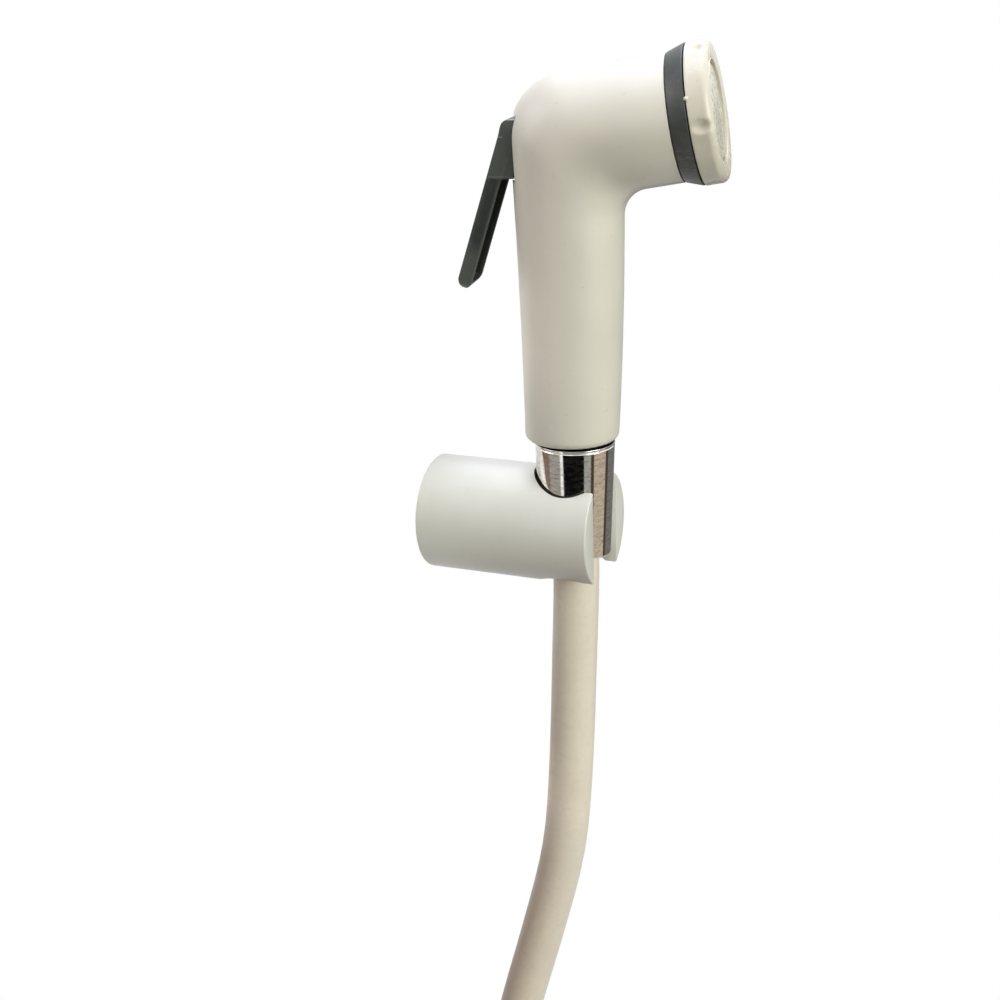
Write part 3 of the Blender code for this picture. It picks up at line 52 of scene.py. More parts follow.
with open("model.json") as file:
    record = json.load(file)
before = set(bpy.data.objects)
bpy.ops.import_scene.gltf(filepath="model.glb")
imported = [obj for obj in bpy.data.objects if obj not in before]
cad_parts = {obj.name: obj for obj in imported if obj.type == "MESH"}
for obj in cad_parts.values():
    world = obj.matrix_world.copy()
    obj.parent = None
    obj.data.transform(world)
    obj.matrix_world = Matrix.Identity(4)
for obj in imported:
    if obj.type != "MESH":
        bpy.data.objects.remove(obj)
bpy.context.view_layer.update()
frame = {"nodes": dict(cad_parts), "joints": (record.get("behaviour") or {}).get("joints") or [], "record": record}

MM = 0.001


def joint(name):
    """A joint as the frame gives it."""
    return next(j for j in frame["joints"] if j["name"] == name)


# Places read from the frame
LEVER_PIVOT = joint("lever_pivot")
STEM_SLIDE = joint("stem_slide")
CRADLE_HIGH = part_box("holder_body")[1]
NUT_LOW, NUT_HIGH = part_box("hose_nut")
SUPPLY_LOW, SUPPLY_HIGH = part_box("supply_nut")
COIL_LOW, COIL_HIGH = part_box("hose_coil")
BORE_X = (NUT_LOW.x + NUT_HIGH.x) / 2
TURN = atan2(LEVER_PIVOT["axis"][0], -LEVER_PIVOT["axis"][1])
TILT = asin(STEM_SLIDE["axis"][2])
VALVE_DROP = 5.5 * MM
HEAD_AXIS_HEIGHT = STEM_SLIDE["pos_m"][2] + VALVE_DROP * cos(TILT)
PIVOT_HEIGHT = LEVER_PIVOT["pos_m"][2]
PIVOT_SETBACK = (Vector(LEVER_PIVOT["pos_m"][:2]) - Vector((BORE_X, 0))).length

# Frames: the handset's, with Z up its grip, the head's and the valve's, with Z to the spray face
HANDSET = Matrix.Translation((BORE_X, 0, 0)) @ Matrix.Rotation(TURN, 4, "Z")
HEAD = (
    HANDSET @ Matrix.Translation((0, 0, HEAD_AXIS_HEIGHT))
    @ Matrix.Rotation(pi / 2 - TILT, 4, "Y")
)
VALVE = HEAD @ Matrix.Translation((VALVE_DROP, 0, 0))
OUT_OF_WALL = Matrix.Rotation(pi / 2, 4, "Y")
# Stands a flat outline up, so that its thickness runs sideways
STANDING = Matrix(((1, 0, 0, 0), (0, 0, -1, 0), (0, 1, 0, 0), (0, 0, 0, 1)))

# A length or a slope that counts as none
TINY = 1e-6

# The clearance that touching pieces keep, and the looser one round the hose
GAP = 0.3 * MM
HOSE_GAP = 0.35 * MM

# Edges that turn by more than these degrees are rounded
EDGE_ANGLE = 40

# Fits shared by several pieces
GRIP_BASE = 27.6 * MM
NIPPLE_RADIUS = 10.3 * MM
NIPPLE_LENGTH = 9.7 * MM
NIPPLE_BORE = 6.5 * MM
HEAD_RADIUS = 17.8 * MM
SHOULDER = 30.17 * MM
SPIGOT_RADIUS = 15.4 * MM
SPIGOT_END = 37.4 * MM
CAP_RADIUS = 19.57 * MM
CAP_BACK = 35.8 * MM
CAP_FRONT = 42.2 * MM
PLATE_FRONT = 39.2 * MM
LEVER_WIDTH = 14.0 * MM
LEVER_BOSS = 2.7 * MM
BLOCK_LENGTH = 13.8 * MM
BLOCK_FOOT = PIVOT_HEIGHT - BLOCK_LENGTH
CROWN = PIVOT_HEIGHT + LEVER_BOSS
POCKET_FLOOR = LEVER_BOSS + 0.4 * MM - PIVOT_SETBACK
TRUNNION_RADIUS = 1.3 * MM
TRUNNION_REACH = 1.4 * MM
NUT_THREAD_RADIUS = NIPPLE_RADIUS + GAP
# How deep the joint above the nut's edge is, and the radius of the cradle's bore at its mouth
JOINT_DEPTH = 0.45 * MM
BORE_MOUTH = 12.1 * MM

# The hose's centre line below the nut: distance from the wall, and height
HOSE_ROUTE = (
    (0.0456, -0.0072), (0.0455, -0.0200), (0.0446, -0.0430), (0.0436, -0.0680),
    (0.0426, -0.0860), (0.0413, -0.1020), (0.0393, -0.1150), (0.0366, -0.1270),
    (0.0332, -0.1400), (0.0297, -0.1530), (0.0263, -0.1650), (0.0231, -0.1770),
    (0.0200, -0.1900), (0.0173, -0.2050), (0.0156, -0.2220), (0.0148, -0.2400),
    (0.0146, -0.2620),
)


def linear(hex_colour):
    """An sRGB hex colour as the linear red, green and blue that shaders work in."""
    parts = [int(hex_colour[i:i + 2], 16) / 255 for i in (0, 2, 4)]
    return tuple(c / 12.92 if c <= 0.04045 else ((c + 0.055) / 1.055) ** 2.4 for c in parts)


# Settings that a user would change

class BidetShapeSettings(bpy.types.PropertyGroup):
    round_steps: IntProperty(
        name="Round steps", description="Facets round a large turned piece", default=160, min=24,
    )
    body_sections: IntProperty(
        name="Elbow sections", description="Cross sections round the body's elbow", default=36, min=8,
    )
    crotch_radius: FloatProperty(
        name="Inner corner", description="Radius where the grip's front meets the head",
        default=8.0 * MM, unit="LENGTH",
    )
    elbow_radius: FloatProperty(
        name="Outer corner", description="Radius of the body's rear top corner",
        default=17.0 * MM, unit="LENGTH",
    )
    edge_width: FloatProperty(
        name="Moulded edge", description="Width of the small round on moulded edges",
        default=0.25 * MM, unit="LENGTH",
    )
    notch_depth: FloatProperty(
        name="Notch depth", description="Depth of the cap's grip notches",
        default=0.95 * MM, unit="LENGTH",
    )
    hose_diameter: FloatProperty(
        name="Hose diameter", description="Outside diameter of the hose",
        default=14.0 * MM, unit="LENGTH",
    )
    hose_length: FloatProperty(
        name="Hose length", description="Length of the hose between its two fittings",
        default=1.2, unit="LENGTH",
    )


class BidetFinishSettings(bpy.types.PropertyGroup):
    body: FloatVectorProperty(
        name="Body", description="Warm off-white of the handset", subtype="COLOR",
        default=linear("E2DDD0"),
    )
    cradle: FloatVectorProperty(
        name="Cradle", description="Cooler white of the wall cradle", subtype="COLOR",
        default=linear("E3E1D8"),
    )
    cap: FloatVectorProperty(
        name="Cap", description="Cream of the face cap and spray plate", subtype="COLOR",
        default=linear("DFD8C7"),
    )
    lever: FloatVectorProperty(
        name="Lever and ring", description="Dark grey of the lever and the trim ring", subtype="COLOR",
        default=linear("424542"),
    )
    hose: FloatVectorProperty(
        name="Hose", description="Cream of the hose", subtype="COLOR", default=linear("F5E9D8"),
    )


class BidetStageSettings(bpy.types.PropertyGroup):
    camera_place: FloatVectorProperty(
        name="Camera", description="Where the camera stands", subtype="TRANSLATION",
        default=(0.21496, -0.44218, 0.16911),
    )
    camera_yaw: FloatProperty(
        name="Yaw", description="How far the camera turns left from the wall's own direction",
        subtype="ANGLE", default=radians(23.71),
    )
    camera_pitch: FloatProperty(
        name="Pitch", description="How far the camera looks down", subtype="ANGLE",
        default=radians(18.73),
    )
    camera_roll: FloatProperty(
        name="Roll", description="Turn about the view axis", subtype="ANGLE", default=radians(-1.65),
    )
    focal_length: FloatProperty(
        name="Focal length", description="Lens for a 36 mm sensor, in millimetres", default=59.72,
    )
    floor_height: FloatProperty(
        name="Floor", description="Height of the floor under the object", unit="LENGTH", default=-0.42,
    )


# Small tools for shapes

def arc(centre, radius, start, end, count):
    """Points on an arc in a plane, both ends included."""
    points = []
    for i in range(count + 1):
        angle = start + (end - start) * i / count
        points.append((centre[0] + radius * cos(angle), centre[1] + radius * sin(angle)))
    return points


def rounded(corners, steps=4):
    """An outline from (x, y, corner radius) points, its corners rounded where a radius is given."""
    points = []
    count = len(corners)
    for i, (x, y, radius) in enumerate(corners):
        here = Vector((x, y))
        if not radius:
            points.append((x, y))
            continue
        before = Vector(corners[i - 1][:2]) - here
        after = Vector(corners[(i + 1) % count][:2]) - here
        half = before.angle(after) / 2
        # A round takes up less than half of each side, so that two next to each other fit
        most = 0.49 * min(before.length, after.length)
        reach = min(radius / max(TINY, abs(sin(half) / cos(half))), most)
        start, end = here + before.normalized() * reach, here + after.normalized() * reach
        for k in range(steps + 1):
            t = k / steps
            points.append(tuple(start * (1 - t) ** 2 + here * 2 * t * (1 - t) + end * t ** 2))
    return points


def spun(outline, steps, matrix=Matrix.Identity(4), closed=True):
    """A turned shape about Z from (radius, height) points, placed by a matrix."""
    bm = bmesh.new()
    verts = [bm.verts.new((r, 0, z)) for r, z in outline]
    pairs = list(zip(verts, verts[1:]))
    if closed:
        pairs.append((verts[-1], verts[0]))
    edges = [bm.edges.new(p) for p in pairs if max(p[0].co.x, p[1].co.x) > TINY]
    bmesh.ops.spin(
        bm, geom=verts + edges, cent=(0, 0, 0), axis=(0, 0, 1), angle=2 * pi,
        steps=steps, use_merge=True, use_duplicate=False,
    )
    bmesh.ops.remove_doubles(bm, verts=bm.verts, dist=TINY)
    bmesh.ops.recalc_face_normals(bm, faces=bm.faces)
    bmesh.ops.transform(bm, matrix=matrix, verts=bm.verts)
    return bm


def slab(outline, low, high, matrix=Matrix.Identity(4)):
    """A flat (x, y) outline made thick from low to high along Z, placed by a matrix."""
    bm = bmesh.new()
    face = bm.faces.new([bm.verts.new((x, y, low)) for x, y in outline])
    made = bmesh.ops.extrude_face_region(bm, geom=[face])["geom"]
    moved = [item for item in made if isinstance(item, bmesh.types.BMVert)]
    bmesh.ops.translate(bm, vec=(0, 0, high - low), verts=moved)
    bmesh.ops.recalc_face_normals(bm, faces=bm.faces)
    bmesh.ops.transform(bm, matrix=matrix, verts=bm.verts)
    return bm


def box_between(low, high, matrix=Matrix.Identity(4)):
    low, high = Vector(low), Vector(high)
    bm = bmesh.new()
    place = Matrix.Translation((low + high) / 2) @ Matrix.Diagonal((*(high - low), 1))
    bmesh.ops.create_cube(bm, size=1.0, matrix=matrix @ place)
    return bm


def rod_between(start, end, radius, steps):
    start, end = Vector(start), Vector(end)
    along = end - start
    turn = along.to_track_quat("Z", "Y").to_matrix().to_4x4()
    bm = bmesh.new()
    bmesh.ops.create_cone(
        bm, cap_ends=True, segments=steps, radius1=radius, radius2=radius, depth=along.length,
        matrix=Matrix.Translation((start + end) / 2) @ turn,
    )
    return bm


def as_object(name, bm):
    mesh = bpy.data.meshes.new(name)
    bm.to_mesh(mesh)
    bm.free()
    obj = bpy.data.objects.new(name, mesh)
    bpy.context.scene.collection.objects.link(obj)
    return obj


def carve(obj, *steps):
    """Cuts or joins other shapes, given as (operation, bmesh) pairs, and keeps the result."""
    for operation, bm in steps:
        tool = as_object("tool", bm)
        change = obj.modifiers.new("carve", "BOOLEAN")
        change.operation = operation
        change.solver = "EXACT"
        change.object = tool
        bpy.context.view_layer.update()
        evaluated = obj.evaluated_get(bpy.context.evaluated_depsgraph_get())
        mesh = bpy.data.meshes.new_from_object(evaluated)
        obj.modifiers.clear()
        old, obj.data = obj.data, mesh
        bpy.data.meshes.remove(old)
        bpy.data.objects.remove(tool)
    return obj


def bevel_edges(bm, edges, width, segments, clamp):
    """Rounds the edges given."""
    bmesh.ops.bevel(
        bm, geom=edges, offset=width, offset_type="OFFSET", segments=segments, profile=0.5,
        affect="EDGES", clamp_overlap=clamp, material=-1,
    )


def soften(obj, width, segments=2):
    """Gives the sharp edges of a mesh the small round that a mould leaves."""
    bm = bmesh.new()
    bm.from_mesh(obj.data)

    def sharp_edges():
        pairs = (e for e in bm.edges if len(e.link_faces) == 2)
        return [e for e in pairs if e.calc_face_angle(0) > radians(EDGE_ANGLE)]

    near = sorted({v for e in sharp_edges() for v in e.verts}, key=lambda v: v.index)
    bmesh.ops.remove_doubles(bm, verts=near, dist=0.45 * width)
    bmesh.ops.dissolve_degenerate(bm, edges=bm.edges, dist=TINY)
    bevel_edges(bm, sharp_edges(), width, segments, False)
    bm.to_mesh(obj.data)
    bm.free()


def dress(obj, slot, *nodes, body="root", sharp=EDGE_ANGLE):
    """Shades and paints a finished piece, ties it to its body, and hides the nodes that it stands for."""
    if obj.type == "MESH":
        obj.data.shade_smooth()
        obj.data.set_sharp_from_angle(angle=radians(sharp))
    obj.data.materials.clear()
    obj.data.materials.append(finish(slot))
    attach(obj, body)
    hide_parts(*nodes)


def smooth_route(points, count):
    """Evenly spaced points on a smooth curve through a list of points."""
    points = [Vector(p) for p in points]
    padded = [2 * points[0] - points[1]] + points + [2 * points[-1] - points[-2]]
    dense = []
    between = 12
    for i in range(1, len(padded) - 2):
        a, b, c, d = padded[i - 1:i + 3]
        for k in range(between):
            t = k / between
            dense.append(0.5 * (
                2 * b + (c - a) * t + (2 * a - 5 * b + 4 * c - d) * t * t
                + (3 * b - a - 3 * c + d) * t ** 3
            ))
    dense.append(points[-1])
    lengths = [0.0]
    for a, b in zip(dense, dense[1:]):
        lengths.append(lengths[-1] + (b - a).length)
    picked = []
    j = 0
    for i in range(count + 1):
        want = lengths[-1] * i / count
        while j < len(dense) - 2 and lengths[j + 1] < want:
            j += 1
        share = (want - lengths[j]) / (lengths[j + 1] - lengths[j])
        picked.append(dense[j].lerp(dense[j + 1], min(1.0, max(0.0, share))))
    return picked


# Small tools for finishes

def fill(node, inputs):
    """Links or sets a node's inputs."""
    for name, value in inputs.items():
        socket = node.inputs[name]
        if isinstance(value, bpy.types.NodeSocket):
            node.id_data.links.new(value, socket)
        else:
            socket.default_value = (*value, 1.0) if socket.type == "RGBA" else value


def add_node(tree, kind, inputs=None, **settings):
    """Adds a node, sets it up, fills its inputs, and gives the first output that it has in use."""
    node = tree.nodes.new("ShaderNode" + kind)
    for name, value in settings.items():
        setattr(node, name, value)
    fill(node, inputs or {})
    return next((output for output in node.outputs if output.enabled), None)


def new_material(name):
    """A material, the function that adds its nodes, its shader and the object's own coordinates."""
    made = bpy.data.materials.new(name)
    made.use_nodes = True
    add = partial(add_node, made.node_tree)
    shader = made.node_tree.nodes["Principled BSDF"]
    return made, add, shader, add("TexCoord").node.outputs["Object"]


def bare_material(name):
    """A material without nodes, and the function that adds them."""
    made = bpy.data.materials.new(name)
    made.use_nodes = True
    made.node_tree.nodes.clear()
    return made, partial(add_node, made.node_tree)


def grey(value):
    return (value, value, value)


def shade(colour, factor):
    return tuple(c * factor for c in colour)


def grain(place, size, detail, roughness):
    """The inputs of a noise whose blotches are about `size` metres across."""
    return {"Vector": place, "Scale": 1.0 / size, "Detail": detail, "Roughness": roughness}


def patches(add, place, size, detail, roughness, low, high, least=0.0, most=1.0):
    """Blotches of a size: noise from low to high, turned to a value from least to most."""
    cloud = add("TexNoise", grain(place, size, detail, roughness))
    return add("MapRange", {
        "Value": cloud, "From Min": low, "From Max": high, "To Min": least, "To Max": most,
    })


def relief(add, place, size, detail, roughness, depth, strength):
    """A normal for the shader, from bumps of a size and depth."""
    height = add("TexNoise", grain(place, size, detail, roughness))
    return add("Bump", {"Height": height, "Distance": depth, "Strength": strength})


def within(add, place, frame_matrix, low, high, blur):
    """1 inside a box given in a piece's own frame, fading to 0 over a blur at its faces."""
    inverse = frame_matrix.inverted()
    local = add("Mapping", {
        "Vector": place, "Rotation": inverse.to_euler(), "Location": inverse.translation,
    })
    inside = 1.0
    for part, start, end in zip(add("SeparateXYZ", {0: local}).node.outputs, low, high):
        for edge, sign in ((start, 1.0), (end, -1.0)):
            full = edge + sign * blur
            side = add("MapRange", {"Value": part, "From Min": edge, "From Max": full})
            inside = add("Math", {0: inside, 1: side}, operation="MULTIPLY")
    return inside


def moulded_plastic(name, colour, tint, roughness, mould_grain):
    """A gloss or satin moulding: faint cloudy tone, fine mould grain and slightly uneven gloss."""
    made, add, shader, place = new_material(name)
    cloud = patches(add, place, size=22 * MM, detail=3.0, roughness=0.55, low=0.35, high=0.68)
    tone = add("Mix", {0: cloud, 6: colour, 7: tint}, data_type="RGBA")
    speck = patches(add, place, size=2.2 * MM, detail=3.0, roughness=0.6, low=0.66, high=0.78)
    fill(shader, {
        "Base Color": add("Mix", {0: speck, 6: tone, 7: shade(tint, 0.93)}, data_type="RGBA"),
        "Roughness": patches(
            add, place, size=6 * MM, detail=4.0, roughness=0.6, low=0.3, high=0.7,
            least=roughness - 0.05, most=roughness + 0.07,
        ),
        "IOR": 1.5,
        "Normal": relief(
            add, place, size=mould_grain, detail=2.0, roughness=0.5, depth=0.02 * MM, strength=0.5,
        ),
    })
    return made, add, shader, place


def handset_abs(colour):
    """Injection moulded ABS: warm off-white and satin."""
    return moulded_plastic("abs_offwhite_moulded", colour, shade(colour, 0.955), 0.36, 0.7 * MM)[0]


def cradle_abs(colour):
    """Injection moulded ABS: whiter and glossier than the handset's, with painted shade high in the bore."""
    made, add, shader, place = moulded_plastic(
        "abs_white_moulded", colour, shade(colour, 0.96), 0.33, 0.7 * MM
    )
    # Painted shade: the bore's wall just below its mouth is darkened, where the narrow gap round the nut lies in
    # shade.
    flat = add("Mapping", {"Vector": place, "Location": (-BORE_X, 0, 0), "Scale": (1.0, 1.0, 0.0)})
    reach = add("VectorMath", {0: flat}, operation="LENGTH")
    on_wall = add("MapRange", {
        "Value": reach, "From Min": BORE_MOUTH + 0.25 * MM, "From Max": BORE_MOUTH + 0.10 * MM,
    })
    height = add("SeparateXYZ", {0: place}).node.outputs["Z"]
    upper = add("MapRange", {"Value": height, "From Min": 5 * MM, "From Max": 9 * MM})
    bore_shade = add("Math", {0: on_wall, 1: upper}, operation="MULTIPLY")
    unshaded_tone = shader.inputs["Base Color"].links[0].from_socket
    tone = add("Mix", {0: bore_shade, 6: unshaded_tone, 7: linear("4E4943")}, data_type="RGBA")
    fill(shader, {"Base Color": tone})
    return made


def cap_pom(colour):
    """Acetal cap and spray plate: cream, glossy, with light passing a little into the walls."""
    made, add, shader, place = moulded_plastic(
        "acetal_cream_moulded", colour, shade(colour, 0.93), 0.24, 1.1 * MM
    )
    fill(shader, {"Subsurface Weight": 0.12, "Subsurface Radius": (1.2 * MM, 0.8 * MM, 0.4 * MM)})
    return made


def lever_nylon(colour):
    """Glass-filled nylon of the lever and ring: dark grey, scuffed, with painted highlights and painted shade,
    near black in the channel.
    """
    made, add, shader, place = new_material("nylon_dark_grey_moulded")
    upright = add("Mapping", {"Vector": place, "Scale": (1.0, 1.0, 0.16)})
    scuff = patches(add, upright, size=0.8 * MM, detail=5.0, roughness=0.7, low=0.60, high=0.76)
    level = add("Mapping", {"Vector": place, "Scale": (0.25, 0.25, 1.0)})
    scrape = patches(add, level, size=0.7 * MM, detail=4.0, roughness=0.7, low=0.51, high=0.61)
    # Only the ring's lower near side is rubbed
    rubbed = within(
        add, place, HEAD, (6 * MM, -19 * MM, 30 * MM), (19 * MM, -4 * MM, 36 * MM), 1.5 * MM
    )
    scrape = add("Math", {0: scrape, 1: rubbed}, operation="MULTIPLY")
    marks = add("Math", {0: scuff, 1: scrape}, operation="MAXIMUM")
    cloud = patches(add, place, size=7 * MM, detail=3.0, roughness=0.6, low=0.35, high=0.7)
    tone = add("Mix", {0: cloud, 6: shade(colour, 0.80), 7: shade(colour, 1.25)}, data_type="RGBA")
    spot_height = CROWN - 0.3 * (BLOCK_LENGTH + LEVER_BOSS)
    # Box and blur in mm, and tone: the block lighter, painted shade in the side's middle, the tip lighter, a
    # painted highlight along the near rim, a painted glint along the crown, a small bright spot
    for frame_matrix, low, high, blur, strength in (
        (HANDSET, (-27, -9, BLOCK_FOOT / MM - 0.5), (0, 9, CROWN / MM + 2), 0.5, 1.6),
        (BAR, (3, -8.6, -1.9), (31.5, -5.2, 1.6), 0.9, 0.62),
        (BAR, (-6, -11, -6), (13, 11, 6), 5.0, 1.7),
        (BAR, (1, -7.6, -2.6), (38, -6.3, -1.6), 0.25, 1.9),
        (HANDSET, (-21, -7.8, CROWN / MM - 0.35), (-14.5, -6.2, CROWN / MM + 0.4), 0.1, 9.0),
        (HANDSET, (-19.4, -7.8, spot_height / MM - 0.15), (-18.0, -6.2, spot_height / MM + 0.15), 0.08, 5.0),
    ):
        inside = within(add, place, frame_matrix, Vector(low) * MM, Vector(high) * MM, blur * MM)
        tone = add("Mix", {0: inside, 6: tone, 7: shade(colour, strength)}, data_type="RGBA")
    worn = add("Mix", {0: marks, 6: tone, 7: shade(colour, 2.1)}, data_type="RGBA")
    # Painted shade: the channel's inside is made near black and rougher, as it lies in deep shade.
    inner_half = LEVER_WIDTH / 2 - CHANNEL_WALL + 0.05 * MM
    channel = within(
        add, place, BAR, (1.0 * MM, -inner_half, -1.2 * MM),
        (40 * MM, inner_half, LEVER_THICKNESS / 2 - CHANNEL_BACK + 0.2 * MM), 0.1 * MM,
    )
    gloss = add("MapRange", {"Value": marks, "To Min": 0.40, "To Max": 0.56})
    fill(shader, {
        "Base Color": add("Mix", {0: channel, 6: worn, 7: shade(colour, 0.12)}, data_type="RGBA"),
        "Roughness": add("Math", {0: gloss, 1: channel}, operation="MAXIMUM"),
        "Specular IOR Level": 0.4,
        "Normal": relief(
            add, place, size=0.5 * MM, detail=3.0, roughness=0.6, depth=0.03 * MM, strength=0.6,
        ),
    })
    return made


def chrome_plate():
    """Decorative chrome over brass: mirror bright, dulled in level streaks, with painted shade near black in the
    joint under the grip.
    """
    made, add, shader, place = new_material("chrome_plated_brass")
    level = add("Mapping", {"Vector": place, "Scale": (0.22, 0.22, 1.0)})
    streak = patches(add, level, size=0.7 * MM, detail=4.0, roughness=0.65, low=0.46, high=0.74)
    spots = patches(add, place, size=1.3 * MM, detail=3.0, roughness=0.6, low=0.56, high=0.78)
    film = add("Math", {0: streak, 1: spots}, operation="MAXIMUM")
    tone = add("Mix", {0: film, 6: linear("ECEBE8"), 7: linear("B7AEA2")}, data_type="RGBA")
    # Painted shade: the nut's top edge, in the shadow of the joint under the grip, is made near black.
    joint_shade = within(
        add, place, HANDSET, (-20 * MM, -20 * MM, GRIP_BASE - GAP - JOINT_DEPTH - 0.05 * MM),
        (20 * MM, 20 * MM, GRIP_BASE + MM), 0.05 * MM,
    )
    fill(shader, {
        "Base Color": add("Mix", {0: joint_shade, 6: tone, 7: linear("1C1A18")}, data_type="RGBA"),
        "Metallic": add("MapRange", {"Value": film, "To Min": 1.0, "To Max": 0.96}),
        "Roughness": add("MapRange", {"Value": film, "To Min": 0.07, "To Max": 0.16}),
        "Normal": relief(
            add, level, size=3.0 * MM, detail=2.0, roughness=0.5, depth=0.0015 * MM, strength=0.5,
        ),
    })
    return made


def hose_vinyl(colour):
    """Plasticised vinyl tube: cream, satin, faintly cloudy where it has aged."""
    made, add, shader, place = new_material("vinyl_cream_extruded")
    cloud = patches(add, place, size=14 * MM, detail=4.0, roughness=0.6, low=0.32, high=0.7)
    fine = patches(add, place, size=1.6 * MM, detail=3.0, roughness=0.6, low=0.5, high=0.8)
    tone = add("Mix", {0: cloud, 6: colour, 7: shade(colour, 0.93)}, data_type="RGBA")
    fill(shader, {
        "Base Color": add("Mix", {0: fine, 6: tone, 7: shade(colour, 0.90)}, data_type="RGBA"),
        "Roughness": 0.42,
        "IOR": 1.53,
        "Normal": relief(
            add, place, size=1.2 * MM, detail=2.0, roughness=0.5, depth=0.02 * MM, strength=0.6,
        ),
    })
    return made


# How bare turned metal differs from a moulded or ground surface
TURNED = {"detail": 4.0, "light": 1.0, "spread": (-0.06, 0.08), "depth": 0.01 * MM, "metallic": 1.0}


def plain_finish(
    name, colour, roughness, size, detail=3.0, light=1.1, spread=(-0.05, 0.05), depth=0.02 * MM,
    metallic=0.0,
):
    """One tone, broken by the fine surface that a mould, a grinder or a turning tool leaves."""
    made, add, shader, place = new_material(name)
    fine = add("TexNoise", grain(place, size, detail, roughness=0.6))
    dark, light = shade(colour, 0.85), shade(colour, light)
    fill(shader, {
        "Base Color": add("Mix", {0: fine, 6: dark, 7: light}, data_type="RGBA"),
        "Roughness": add("MapRange", {
            "Value": fine, "To Min": roughness + spread[0], "To Max": roughness + spread[1],
        }),
        "Metallic": metallic,
        "Normal": add("Bump", {"Height": fine, "Distance": depth, "Strength": 0.5}),
    })
    return made


FINISHES = {}


def finish(slot):
    """The finish of a material slot. All are made the first time that one is asked for."""
    if not FINISHES:
        colours = bpy.context.scene.bidet_finish
        FINISHES.update({
            "body_plastic": handset_abs(colours.body),
            "cradle_plastic": cradle_abs(colours.cradle),
            "cream_plastic": cap_pom(colours.cap),
            "grey_plastic": lever_nylon(colours.lever),
            "chrome_plating": chrome_plate(),
            "hose_vinyl": hose_vinyl(colours.hose),
            "brass_turned": plain_finish("brass_turned", linear("D8B573"), 0.26, 0.9 * MM, **TURNED),
            "stainless_steel": plain_finish(
                "steel_stainless_cold_headed", linear("C8C8C6"), 0.28, 0.9 * MM, **TURNED
            ),
            "seal_rubber": plain_finish("nitrile_rubber_black", linear("2B2B2B"), 0.62, 0.5 * MM),
            "inner_plastic": plain_finish("acetal_white_natural", linear("E4E4E0"), 0.38, 0.8 * MM),
            "tie_plastic": plain_finish("nylon_white_natural", linear("E2E0DA"), 0.45, 0.8 * MM),
        })
    return FINISHES[slot]


# The handset's body

def through_three(base, middle, top, share):
    """A smooth value through three stations at shares 0, 0.5 and 1."""
    a = 2 * (base + top - 2 * middle)
    b = top - base - a
    return base + b * share + a * share * share


# From the grip's axis to its front and back, at its foot, middle and top
GRIP_FRONT = (13.15 * MM, 14.55 * MM, 15.05 * MM)
GRIP_BACK = (14.65 * MM, 15.15 * MM, 16.20 * MM)
GRIP_RIM = 2.2 * MM
BACK_LEAN = radians(2.2)
BODY_SIDES = 96
PIN_SIDES = 32


def crotch_centre(radius):
    """Centre of the rounded corner between the grip's front and the head's underside."""
    x = GRIP_FRONT[2] + radius
    z = HEAD_AXIS_HEIGHT + (-HEAD_RADIUS - radius + x * sin(TILT)) / cos(TILT)
    return Vector((x, z))


def outer_reach(origin, direction, back_point, radius):
    """Distance from a point to the back, the rounded elbow or the head's top."""
    back_normal = Vector((-cos(BACK_LEAN), -sin(BACK_LEAN)))
    top_normal = Vector((-sin(TILT), cos(TILT)))
    back_level = back_normal.dot(back_point)
    top_level = top_normal.dot(Vector((0, HEAD_AXIS_HEIGHT))) + HEAD_RADIUS
    det = back_normal.x * top_normal.y - back_normal.y * top_normal.x
    p, q = back_level - radius, top_level - radius
    centre = Vector((
        (p * top_normal.y - q * back_normal.y) / det,
        (back_normal.x * q - top_normal.x * p) / det,
    ))
    reaches = []
    for normal, level in ((back_normal, back_level), (top_normal, top_level)):
        slope = normal.dot(direction)
        if slope > TINY:
            reaches.append((level - normal.dot(origin)) / slope)
    reach = min(reaches)
    to_centre = origin - centre
    half = to_centre.dot(direction)
    root = half * half - to_centre.length_squared + radius ** 2
    if root > 0:
        on_arc = -half + sqrt(root)
        out = (origin + direction * on_arc - centre) / radius
        past_back = out.dot(Vector((-back_normal.y, back_normal.x))) < 0
        past_top = out.dot(Vector((top_normal.y, -top_normal.x))) < 0
        if past_back and past_top:
            reach = on_arc
    return reach


